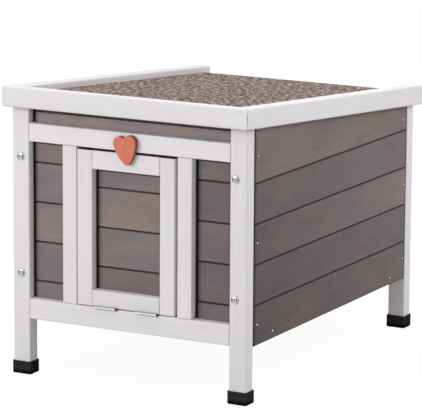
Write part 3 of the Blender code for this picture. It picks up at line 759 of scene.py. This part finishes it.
def rebate(low, high, side, line, inward, span, edge=0.002):
    """Corners, work and painted-shade faces of an upright timber with a rebate on one side, behind the
    line.
    """
    face = high.x if side > 0 else low.x
    corners = rounded_block((low.x, low.y), (high.x, high.y), edge)
    step = [(face, line, 0.0), (face, line + inward * 0.0005, 0.0)]
    if side * inward < 0:
        step = step[::-1]
    corners = corners[:2] + step + corners[2:] if side > 0 else corners + step

    # The rebate's faces by the boards are painted dark as shade.
    def inside(point):
        behind = (point.y - line) * inward > 0.0003
        return behind and abs(point.x - face) < SHADE_WIDTH and span[0] < point.z < span[1]

    def work(point):
        if inside(point) and abs(point.x - face) < REBATE_WIDTH:
            point.x -= side * REBATE_DEPTH
        return point

    return {"corners": corners, "work": work, "hidden": inside}


# %% [markdown]
# ## Legs and their caps
#
# The four posts are also the legs. The roof falls towards the back, so their tops are cut to its slope.
# Each foot stands in a plastic cap, a thin cup with rounded corners. A bevelled box would hide that it
# is a cup, so the cap is skinned through rings that run up its outside, over the rim and down inside.

# %% Posts
FRONT_BOARD_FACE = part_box("front_left_boards")[0].y
REAR_BOARD_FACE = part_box("rear_boards")[1].y
POST_LOOKS = {
    "front_left": (0.2, 0.8),
    "front_right": (-0.3, 0.7),
    "rear_left": (0.0, 0.5),
    "rear_right": (0.1, 1.1),
}
for corner, (tone, lean) in POST_LOOKS.items():
    node = f"{corner}_post"
    low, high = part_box(node)
    cut = {"ends": (None, slope_from(node)), "tone": tone, "lean": lean}
    if corner == "front_left":
        cut |= rebate(low, high, 1, FRONT_BOARD_FACE, 1, (0.12, 0.6))
    if corner == "rear_right":
        cut |= rebate(low, high, -1, REAR_BOARD_FACE, -1, (0.12, 0.6))
    timber(f"{node}_timber", low, high, "zxy", white, "house", [node], **cut)
tell("Posts")

# %% Foot caps
CAP_WALL = 0.002
CAP_CORNER = 0.0028
CUP_FLOOR = 0.0031


def cap(name, low, high):
    """Rings from the sole up the outside, over the rim and down the inside."""
    height = high.z - low.z
    path = [(0.0, 0.0022), (0.0002, 0.0012), (0.0008, 0.0004), (0.0016, 0.0001), (0.0024, 0.0)]
    path += [(height * share, 0.0) for share in (0.3, 0.5, 0.7, 0.9)]
    path += [(height - 0.0006, 0.0), (height - 0.0002, 0.00015), (height, 0.0005)]
    path += [(height, CAP_WALL - 0.0004), (height - 0.0004, CAP_WALL)]
    path += [(0.012, CAP_WALL), (CUP_FLOOR, CAP_WALL)]
    middle = (low + high) / 2
    outline = section(rounded_block(low, high, CAP_CORNER), spacing=0.006, steps=4)
    rings = []
    for up, inset in path:
        narrow = Vector((1 - inset / (high.x - middle.x), 1 - inset / (high.y - middle.y)))
        ring = [middle.xy + (point - middle.xy) * narrow for point in outline]
        rings.append([Vector((point.x, point.y, low.z + up)) for point in ring])
    piece = put_up(f"{name}_moulding", skin(rings), plastic, "house", [name])
    mark_timber(piece, low, high, (2, 0, 1))


for corner in POST_LOOKS:
    cap(f"{corner}_foot_cap", *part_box(f"{corner}_foot_cap"))
tell("Foot caps")

# %% [markdown]
# ## Rails and jambs
#
# The white cross timbers stand flush with the posts' faces and butt against them. The wall's frame could
# be one mesh, but a real joint shows as a thin shaded line, and that comes from the timbers' eased ends.

# %% White cross timbers of the walls
for node, grain in (
    ("front_top_rail", "xzy"),
    ("front_bottom_rail", "xzy"),
    ("rear_bottom_rail", "xzy"),
    ("rear_top_rail", "xzy"),
    ("left_door_jamb", "zxy"),
    ("right_door_jamb", "zxy"),
):
    low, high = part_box(node)
    cut = {"tone": 1.4} if node == "front_top_rail" else {}
    if node == "rear_top_rail":
        cut = {"work": cut_to(slope_from(node), low.z, high.z)}
    if node == "right_door_jamb":
        cut = rebate(low, high, 1, FRONT_BOARD_FACE, 1, (0.1, 0.5))
    if node == "left_door_jamb":
        cut = {"edge": 0.0009}
    timber(f"{node}_timber", low, high, grain, white, "house", [node], **cut)
tell("Rails and jambs")

# %% [markdown]
# ## Boards
#
# The panels are tongue-and-groove boards laid flat, with a V along each joint. One solid with cut lines
# would repeat the same grain over the whole wall. Separate boards, each with its own section, tone and
# number, show the small steps and changes of colour that a real wall has. The eave board has a painted
# shadow line under the roof's trim, and the top board of each panel a painted shade line under its rail.

# %% The section of a board
VEE = 0.0014
TONGUE_LENGTH = 0.004
GROOVE_DEPTH = 0.0044
HALF_TONGUE = 0.0015
HALF_GROOVE = 0.0017


def board_section(low, high, back, face, tongue, groove):
    """Corners of a board's section; its face has half a V beside a tongue or groove."""
    outward = 1 if face > back else -1
    centre = (back + face) / 2
    vee = face - outward * VEE
    corners = [(low, back, 0.0003)]
    if groove:
        slit = [centre - outward * HALF_GROOVE, centre + outward * HALF_GROOVE]
        floor_of_slit = low + GROOVE_DEPTH
        corners += [(low, slit[0], 0.0002), (floor_of_slit, slit[0], 0.0002)]
        corners += [(floor_of_slit, slit[1], 0.0002), (low, slit[1], 0.0002)]
        corners += [(low, vee, 0.0004), (low + VEE, face, 0.0006)]
    else:
        corners.append((low, face, 0.0004))
    if tongue:
        lip = [centre + outward * HALF_TONGUE, centre - outward * HALF_TONGUE]
        tip = high + TONGUE_LENGTH
        corners += [(high - VEE, face, 0.0006), (high, vee, 0.0004)]
        corners += [(high, lip[0], 0.0002), (tip, lip[0], 0.0003)]
        corners += [(tip, lip[1], 0.0003), (high, lip[1], 0.0002)]
    else:
        corners.append((high, face, 0.0004))
    return corners + [(high, back, 0.0003)]


# %% Boards of the front, the rear and the door
BOARD_GAP = 0.0002
SHADE_UNDER_RAIL = 0.0030
EAVE_SHADOW_BELOW_TRIM = 0.0073
BEYOND_BOARD = 0.010


def panel(node, joints, body, looks):
    """One board between each two joints; looks has each board's tone and warmth, lowest first."""
    to_roof = node == "front_eave_board"
    low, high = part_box(node)
    back, face = (low.y, high.y) if node == "rear_boards" else (high.y, low.y)
    edges = [low.z, *joints, high.z]
    last = len(joints)
    for index, (tone, warmth) in enumerate(looks):
        under = edges[index] + (BOARD_GAP if index else 0)
        over = edges[index + 1] - (BOARD_GAP if index < last else 0)
        corners = board_section(under, over, back, face, index < last, index > 0)
        cut = {"corners": corners, "ease": 0, "tone": tone, "warmth": warmth}
        if to_roof:
            cut["work"] = cut_to(slope_from(node), under, over)
        # Painted shade under the rail, and a painted shadow under the front trim on the eave board.
        shade_from = over - (0 if index < last else SHADE_UNDER_RAIL)
        behind = high.y
        if to_roof:
            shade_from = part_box("roof_front_trim")[0].z - EAVE_SHADOW_BELOW_TRIM
            behind += BEYOND_BOARD
        foot = under - (0 if index else BEYOND_BOARD)
        ends = Vector((low.x, low.y, foot)), Vector((high.x, behind, shade_from))
        stands_for = [] if index else [node]
        timber(f"{node}_course_{index + 1}", *ends, "xzy", stain, body, stands_for, **cut)


# %% Joints and looks of the panels
WALL_JOINTS = [0.1645, 0.2335, 0.3025, 0.3715]
DOOR_JOINTS = [0.2033, 0.2716, 0.3399]
PANEL_LOOKS = {
    "front_left_boards": [(0.3, -0.6), (0.4, 0.0), (0.75, 0.1), (0.5, 0.1), (0.5, 0.2)],
    "front_right_boards": [(-0.5, -0.2), (-0.85, -0.5), (-0.5, 0.2), (-0.7, 0.0), (-0.2, 0.0)],
    # The eave board's high tone is painted light that lifts it out of the trim's cast shadow.
    "front_eave_board": [(2.6, 0.0)],
    "rear_boards": [(0.1, -0.3), (0.4, 0.4), (-0.1, 0.0), (0.3, 0.2)],
    "door_boards": [(-0.5, 0.0), (0.25, 0.2), (0.6, 0.5), (0.45, -0.5)],
}
for node, looks in PANEL_LOOKS.items():
    on_door = node == "door_boards"
    joints = (DOOR_JOINTS if on_door else WALL_JOINTS)[:len(looks) - 1]
    panel(node, joints, "door" if on_door else "house", looks)
tell("Panels")

# %% Side boards
SIDE_COURSES = 5


def side_board(side, course, tone, warmth, lean):
    """A board along the wall; the lowest has no groove below, and the highest is cut to the slope."""
    node = f"{side}_side_board_{course}"
    low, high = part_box(node)
    back, face = (low.x, high.x) if side == "right" else (high.x, low.x)
    above = high.z - (TONGUE_LENGTH if course < SIDE_COURSES else 0)
    corners = board_section(low.z, above, back, face, course < SIDE_COURSES, course > 1)
    cut = {"corners": corners, "ease": 0, "tone": tone, "warmth": warmth, "lean": lean}
    if course == SIDE_COURSES:
        cut["work"] = cut_to(slope_from(node), low.z, above)
    ends = Vector((low.x, low.y, low.z)), Vector((high.x, high.y, above))
    timber(f"{node}_board", *ends, "yzx", stain, "house", [node], **cut)


# %% Tone, warmth and lean of each side board, lowest first
right_looks = [(-1.55, 0.1, 0.65), (-1.3, -0.6, 0.6), (-0.8, -0.1, 1.0)]
right_looks += [(-0.9, -0.4, 0.6), (-0.15, 0.6, -0.05)]
left_looks = [(-0.5, -0.2, 0.2), (-0.1, 0.5, -0.2), (-0.6, -0.3, 0.3), (0.0, 0.1, 0.0), (-0.2, 0.6, 0.2)]
for side, looks in (("right", right_looks), ("left", left_looks)):
    for course, look in enumerate(looks, 1):
        side_board(side, course, *look)
tell("Side boards")

# %% [markdown]
# ## Inside timbers and the floor
#
# Plain battens behind the side boards take the nails, and two more carry the floor board. They could
# stay as the CAD has them, but they show when the roof is open, so they are timbers of bare pine.

# %% Battens
for side in ("left", "right"):
    for part, grain in (("front", "zyx"), ("rear", "zyx"), ("floor", "yzx")):
        node = f"{side}_{part}_batten"
        low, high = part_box(node)
        ends = (None, None if part == "floor" else slope_from(node))
        timber(f"{node}_timber", low, high, grain, pine, "house", [node], ends=ends, edge=0.001)
tell("Battens")

# %% [markdown]
# ## The roof
#
# The roof is drawn level and then turned by its slope about the X axis, as a carpenter would build it on
# a bench. Its white trims meet in mitres at the front corners. A Boolean could cut them, but a mitre is
# only another way to end a timber: its length depends on how far out a point lies.

# %% The roof's own level frame
SLOPE = math.atan(ROOF_FALL)
ROOF_TURN = Matrix.Rotation(-SLOPE, 4, "X")


def level_box(node):
    """A node's corners in the roof's level frame."""
    back = ROOF_TURN.inverted()
    points = [back @ vertex.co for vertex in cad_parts[node].data.vertices]
    low = Vector([min(point[axis] for point in points) for axis in range(3)])
    high = Vector([max(point[axis] for point in points) for axis in range(3)])
    return low, high


# %% Trims
# The faces in each mitre's gap are painted dark as shade, and the trims' undersides a lighter shade.
SEAM = 0.0004
INSIDE_MITRE = SEAM + 0.00012
UNDERSIDE_SHADE = 0.75
UNDERSIDE_EDGE = 0.0004
front_low, front_high = level_box("roof_front_trim")
roof_front = front_low.y
roof_half = level_box("roof_right_trim")[1].x
low = Vector((-roof_half, front_low.y, front_low.z))
high = Vector((roof_half, front_high.y, front_high.z))
mitres = [
    lambda point: -roof_half + (point.y - roof_front) + SEAM,
    lambda point: roof_half - (point.y - roof_front) - SEAM,
]
trim = {"turn": ROOF_TURN, "edge": 0.003, "ease": 0.0008}
TRIM_TONES = {"left": -1.6, "front": -0.3, "right": 0.6}


def side_mitre(point):
    """Where a side trim begins, at a point of its section."""
    return roof_front + roof_half - abs(point.x) + SEAM


def trim_shade(end_distance, low_z):
    """How much painted shade a trim gets: all of it in the mitre's gap, and a lighter share on its
    underside.
    """

    def bare(point):
        if end_distance(point) < INSIDE_MITRE:
            return 1.0
        return UNDERSIDE_SHADE if point.z < low_z + UNDERSIDE_EDGE else 0.0

    return bare


cut = {"ends": mitres, "tone": TRIM_TONES["front"]}
cut["hidden"] = trim_shade(lambda point: roof_half - (point.y - roof_front) - abs(point.x), low.z)
timber("roof_front_trim_timber", low, high, "xzy", white, "roof", ["roof_front_trim"], **cut, **trim)
for side in ("left", "right"):
    node = f"roof_{side}_trim"
    low, high = level_box(node)
    low.y = roof_front
    high.y -= 0.0003
    cut = {"ends": [side_mitre, None], "tone": TRIM_TONES[side]}
    cut["hidden"] = trim_shade(lambda point: point.y - roof_front - roof_half + abs(point.x), low.z)
    timber(f"{node}_timber", low, high, "yzx", white, "roof", [node], **cut, **trim)
tell("Trims")

# %% Deck and rear rail
deck_box = level_box("roof_deck")
timber("roof_deck_board", *deck_box, "yxz", pine, "roof", ["roof_deck"], edge=0.0005, turn=ROOF_TURN)
rail_box = level_box("roof_rear_rail")
timber("roof_rear_rail_timber", *rail_box, "xyz", white, "roof", ["roof_rear_rail"], turn=ROOF_TURN)
tell("Deck and rail")

# %% [markdown]
# The felt's granules stand up by a third of a millimetre. A bump alone would leave its outline smooth
# against the trims, so the sheet is a fine grid whose points are sunk by noise, alike at every run.

# %% Felt
FELT_CELL = 0.0024
FELT_SUNK = 0.00035
GRIT_HEIGHT = 0.00022
RIM_SUNK = 0.0006
low, high = level_box("roof_felt")
columns = round((high.x - low.x) / FELT_CELL)
rows = round((high.y - low.y) / FELT_CELL)
bm = bmesh.new()
grid = []
for row in range(rows + 1):
    line = []
    for column in range(columns + 1):
        x = low.x + (high.x - low.x) * column / columns
        y = low.y + (high.y - low.y) * row / rows
        grit = noise.noise(Vector((x, y, 0)) * 480) + 0.6 * noise.noise(Vector((x, y, 3)) * 190)
        rim = column in (0, columns) or row in (0, rows)
        z = high.z - (RIM_SUNK if rim else FELT_SUNK + GRIT_HEIGHT * grit)
        line.append(bm.verts.new((x, y, z)))
    grid.append(line)
for line, following in zip(grid, grid[1:]):
    for column in range(columns):
        bm.faces.new((line[column], line[column + 1], following[column + 1], following[column]))
border = grid[0] + [line[-1] for line in grid[1:]] + grid[-1][-2::-1] + [line[0] for line in grid[-2:0:-1]]
sole = [bm.verts.new((vertex.co.x, vertex.co.y, low.z)) for vertex in border]
for index in range(len(border)):
    bm.faces.new((border[index - 1], sole[index - 1], sole[index], border[index]))
bm.faces.new(sole[::-1])
bmesh.ops.transform(bm, matrix=ROOF_TURN, verts=bm.verts)
if bm.calc_volume(signed=True) < 0:
    bmesh.ops.reverse_faces(bm, faces=bm.faces)
sheet = put_up("roof_felt_sheet", bm, felt, "roof", ["roof_felt"])
mark_timber(sheet, low, high, (0, 1, 2), turn=ROOF_TURN)
print("Felt grid:", columns, "by", rows)

# %% [markdown]
# ## The door
#
# Stiles and rails frame four short boards. One slab with cut lines would do while the door is shut, but
# each timber has its own grain and edges when it folds down. Its upper edge is painted dark as shade, so
# that the gap above the shut door stays dark.

# %% Stiles and rails
RAIL_TONES = {"door_top_rail": 0.9, "door_bottom_rail": -0.8}
door_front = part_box("door_top_rail")[0].y
door_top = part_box("door_top_rail")[1].z
# The door's top edges and the left stile's rebate are painted dark as shade.
SHADE_EDGE = 0.0003
SHADE_LINE = 0.0029
for node, grain in (
    ("door_left_stile", "zxy"),
    ("door_right_stile", "zxy"),
    ("door_top_rail", "xzy"),
    ("door_bottom_rail", "xzy"),
):
    low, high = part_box(node)
    cut = {"tone": RAIL_TONES.get(node, 0.0)}
    if node == "door_left_stile":
        cut |= rebate(low, high, 1, FRONT_BOARD_FACE, 1, (0.15, 0.39), 0.0009)
        in_rebate = cut["hidden"]
        cut["hidden"] = lambda point: in_rebate(point) or point.z > door_top - SHADE_EDGE
    if node == "door_right_stile":
        cut["hidden"] = lambda point: point.z > door_top - SHADE_EDGE
    if node == "door_top_rail":
        block = rounded_block((low.z, low.y), (high.z, high.y), 0.002)
        line = [(high.z, low.y + SHADE_LINE + step, 0.0) for step in (-0.0003, 0.0003)]
        cut["corners"] = block[:2] + line + block[2:]
        shade_behind = door_front + SHADE_LINE
        cut["hidden"] = lambda point: point.z > door_top - 2 * SHADE_EDGE and point.y > shade_behind
    timber(f"{node}_timber", low, high, grain, white, "door", [node], **cut)
tell("Door frame")

# %% Floor board
low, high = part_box("floor_board")
timber("floor_board_plank", low, high, "yxz", pine, "house", ["floor_board"], edge=0.0006)
tell("Floor board")

# %% [markdown]
# ## The heart-shaped turn button
#
# The button is cut from 10 mm wood, and sandpaper has softened its front edge. Its outline is two round
# lobes whose sides swell down to the tip. Shrinking that outline towards its middle in steps, while
# stepping forward, softens the edge in the same way.

# %% Outline of the heart
def heart_outline(width, height, lobe, turn, steps=16, side_steps=20):
    """Points of a heart that stands on its tip at the origin."""
    lobe_x = width / 2 - lobe
    lobe_z = height - lobe
    swell = (lobe_x ** 2 + lobe_z ** 2 - lobe ** 2) / 2
    swell /= lobe_x * math.cos(turn) + lobe - lobe_z * math.sin(turn)
    side_x = lobe_x - swell * math.cos(turn)
    side_z = lobe_z + swell * math.sin(turn)
    side_radius = swell + lobe
    notch = math.pi - math.acos(lobe_x / lobe)
    tip_turn = math.atan2(-side_z, -side_x)
    around = [notch - (turn + notch) * step / steps for step in range(steps + 1)]
    down = [(tip_turn + turn) * step / side_steps - turn for step in range(1, side_steps)]
    right = [(lobe_x + lobe * math.cos(a), lobe_z + lobe * math.sin(a)) for a in around]
    right += [(side_x + side_radius * math.cos(a), side_z + side_radius * math.sin(a)) for a in down]
    right[0] = (0.0, right[0][1])
    return right + [(0.0, 0.0)] + [(-x, z) for x, z in reversed(right[1:])]


# %% Heart
HEART_WIDTH = 0.0435
HEART_HEIGHT = 0.052
HEART_LOBE = 0.0121
TIP_BELOW_PIVOT = 0.010
HEART_LEAN = Matrix.Rotation(math.radians(8.5), 2)
SIDE_TURN = math.radians(10)
TIP_BLUNT = 0.004
low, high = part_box("heart_button")
pivot = middle_of("heart_screw")


def on_heart(spot, y):
    """A point of the heart's own plan, from its tip upwards, as it leans on its pivot."""
    turned = HEART_LEAN @ (Vector(spot) - Vector((0, TIP_BELOW_PIVOT)))
    return Vector((pivot.x + turned.x, y, pivot.z + turned.y))


outline = [Vector(spot) for spot in heart_outline(HEART_WIDTH, HEART_HEIGHT, HEART_LOBE, SIDE_TURN)]
for spot in outline:
    spot.y += max(0, TIP_BLUNT - spot.y) ** 2 / (2 * TIP_BLUNT)
centre = Vector((0, HEART_HEIGHT * 0.56))
path = [(high.y, 0.975), (high.y - 0.0004, 0.992), (high.y - 0.001, 1.0)]
path += [(low.y + 0.007, 1.0), (low.y + 0.004, 1.0), (low.y + 0.0018, 1.0)]
path += [(low.y + 0.0012, 0.994), (low.y + 0.0007, 0.980), (low.y + 0.0003, 0.955), (low.y + 0.0001, 0.92)]
path += [(low.y + 0.00005, share) for share in (0.85, 0.7, 0.5, 0.3, 0.12, 0.02)]
rings = [[on_heart(centre + (spot - centre) * size, y) for spot in outline] for y, size in path]
heart = put_up("heart_button_wood", skin(rings), coral, "button", ["heart_button"])
sawn_from = low.y + 0.0006
mark_timber(heart, low, high, (2, 0, 1), hidden=lambda point: clamped((point.y - sawn_from) / 0.0016))
print("Points round the heart:", len(outline))

# %% [markdown]
# ## Bolts, screws and nails
#
# Bolts with domed heads and cross recesses hold the frames together, and thin nails hold the boards to
# the battens. A head could be a small cylinder, but its dome and recess catch the light. So a head is a
# round grid whose height follows a formula: the dome, less a cross with sloping walls.

# %% The cross and the painted rim shade of a head; lengths are shares of its radius
ARM_HALF = 0.19
ARM_WALL = 0.08
ARM_REACH = 0.66
ARM_END = 0.16


def in_cross(x, y):
    """How deep a point lies in the cross, from 0 to 1."""
    arm = clamped((ARM_HALF - min(abs(x), abs(y))) / ARM_WALL)
    return min(arm, clamped((ARM_REACH - max(abs(x), abs(y))) / ARM_END))


def rim_shade(share, turn):
    """Painted shade low on the dome, thickest on two opposite sides."""
    return clamped((share - 0.50) / 0.2) * clamped((0.90 - share) / 0.1) * abs(math.cos(turn)) ** 2


# %% A domed head with a cross recess
DOME_FALL = 0.42
CROSS_SHADE = 0.48


def head_mesh(radius, height, recess=0.0, rounds=16, sides=48, spin=0.0, shade_ring=0.0):
    """The head as a round grid, and the painted shade of its points: in the recess, under the rim, low on
    two sides.
    """
    foot = [(0.99, -0.0006), (1.0, 0.0), (0.995, height * 0.25), (0.97, height * 0.45)]
    if shade_ring:
        foot[:1] = [(shade_ring / radius, -0.0004), (shade_ring / radius, 0.0), (1.02, 0.0)]
    dome = [(0.93 * (1 - step / rounds), None) for step in range(rounds)]
    rings = []
    shade_marks = []
    for share, up in foot + dome:
        ring = []
        for side in range(sides):
            turn = 2 * math.pi * side / sides
            x, y = share * math.cos(turn), share * math.sin(turn)
            z = up if up is not None else height * (1 - DOME_FALL * share ** 2.4)
            shade_here = 1.0 if up is not None and up < height * 0.3 else 0.0
            if recess and up is None:
                z -= recess * in_cross(x, y)
                shade_here = max(CROSS_SHADE * in_cross(x, y), rim_shade(share, turn + spin))
            ring.append(Vector((x * radius, y * radius, z)))
            shade_marks.append(shade_here)
        rings.append(ring)
    return skin(rings), shade_marks


# %% Setting a head on a face
def drive(name, place, outward, size, finish, body, stands_for=(), slot="", **make):
    """Sets a head on a face; size is its radius and height, and outward the face's direction."""
    bm, shade_marks = head_mesh(*size, **make)
    spin = make.get("spin", 0.3)
    turn = Vector(outward).to_track_quat("Z", "Y").to_matrix().to_4x4() @ Matrix.Rotation(spin, 4, "Z")
    bmesh.ops.transform(bm, matrix=Matrix.Translation(place) @ turn, verts=bm.verts)
    piece = put_up(name, bm, finish, body, stands_for)
    reach = Vector((size[0], size[0], size[0]))
    mark_timber(piece, Vector(place) - reach, Vector(place) + reach, (0, 1, 2))
    if finish is not coral:
        set_shade_or_bare(piece, shade_marks)


# %% Assembly bolts on the front posts, each in a shallow seat with painted shade under its rim
FORWARD = (0, -1, 0)
BOLT_HEAD = (0.0068, 0.0030)
POST_BOLTS = [(x, z) for x in (-0.210, 0.2045) for z in (0.3815, 0.1785)]
post_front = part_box("front_right_post")[0].y
for index, (x, z) in enumerate(POST_BOLTS):
    spot = (x, post_front + 0.0002, z)
    cross = {"recess": 0.0018, "spin": 0.7 + 0.25 * index}
    drive(f"post_bolt_{index + 1}", spot, FORWARD, BOLT_HEAD, bolt_zinc, "house", **cross)
tell("Bolts")

# %% Nails of the side walls, in millimetres behind the posts' front and above the ground
NAIL_HEAD = (0.0020, 0.0005)
NAILS = [(39, 417), (39, 270), (40, 131), (96, 109), (559, 108), (605, 392), (614, 134), (612, 270)]
for side, sign in (("right", 1), ("left", -1)):
    low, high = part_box(f"{side}_side_board_1")
    face = high.x if side == "right" else low.x
    for number, (back, up) in enumerate(NAILS, 1):
        spot = (face - sign * 0.00008, post_front + back / 1000, up / 1000)
        # Each nail head has a flat ring round it, painted dark as the shade of a dent.
        small = {"rounds": 5, "sides": 20, "shade_ring": 0.0036}
        drive(f"{side}_nail_{number}", spot, (sign, 0, 0), NAIL_HEAD, bolt_zinc, "house", **small)
tell("Nails")

# %% The heart's own screw and the small head under its notch, both painted over
SCREW_HEAD = (0.0026, 0.0004)
NOTCH_HEAD = (0.0034, 0.0011)
NOTCH_HEAD_BELOW_TOP = 0.0105
heart_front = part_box("heart_button")[0].y
spot = (pivot.x, heart_front, pivot.z)
drive("heart_button_screw", spot, FORWARD, SCREW_HEAD, coral, "door", ["heart_screw"], "zinc")
spot = on_heart((0.0, HEART_HEIGHT - NOTCH_HEAD_BELOW_TOP), heart_front)
cross = {"recess": 0.0005, "spin": 0.6}
drive("heart_button_pin", spot, FORWARD, NOTCH_HEAD, coral_head, "button", **cross)
tell("Heads on the heart")

# %% [markdown]
# ## Hinges
#
# The butt hinges' leaves and pins could be modelled again, but the CAD has their shape already, so they
# only get a finish. The black heads of the door's pins and the screws in the leaves are added to them.

# %% Hinge finish
hinge_parts = [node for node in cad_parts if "_hinge_" in node]
for node in hinge_parts:
    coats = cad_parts[node].data.materials
    coats.clear()
    coats.append(dark_steel.owner if node.endswith("_pin") else zinc.owner)
print("Hinge parts with a new finish:", len(hinge_parts))

# %% Heads of the door hinges' pins
PIN_HEAD = (0.0023, 0.0022)
for side in ("left", "right"):
    node = f"door_hinge_{side}_pin"
    middle = middle_of(node)
    spot = (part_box(node)[1].x - 0.0002, middle.y, middle.z)
    drive(f"{node}_head", spot, (1, 0, 0), PIN_HEAD, dark_steel, "house", rounds=5, sides=20)
tell("Pin heads")

# %% Screws in the hinges' leaves, nearly flush
LEAF_SCREW_HEAD = (0.0022, 0.0002)
LEAF_SCREWS = (-0.0135, 0.0, 0.0135)
LEAF_FACE = 0.00015
LEAF_REACH = 0.0095


def screw_down(leaf, middle, outward, body):
    """Three screws across a leaf."""
    for number, across in enumerate(LEAF_SCREWS, 1):
        spot = Vector(middle) + Vector((across, 0, 0)) - Vector(outward) * 0.0001
        cross = {"recess": 0.0001, "spin": 0.4 * number, "rounds": 8, "sides": 24}
        drive(f"{leaf}_screw_{number}", spot, outward, LEAF_SCREW_HEAD, bolt_zinc, body, **cross)


for side in ("left", "right"):
    x, y, z = middle_of(f"door_hinge_{side}_pin")
    screw_down(f"door_hinge_{side}_sill", (x, y + LEAF_REACH, z - LEAF_FACE), (0, 0, 1), "house")
    screw_down(f"door_hinge_{side}_door", (x, y + LEAF_REACH, z + LEAF_FACE), (0, 0, -1), "door")
    low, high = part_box(f"roof_hinge_{side}_pin")
    x, y, z = (low + high) / 2
    y -= (high.z - low.z) / 2 + 0.0003
    screw_down(f"roof_hinge_{side}_wall", (x, y, z - LEAF_REACH), (0, 1, 0), "house")
    screw_down(f"roof_hinge_{side}_roof", (x, y, z + LEAF_REACH), (0, 1, 0), "roof")
tell("Hinge screws")
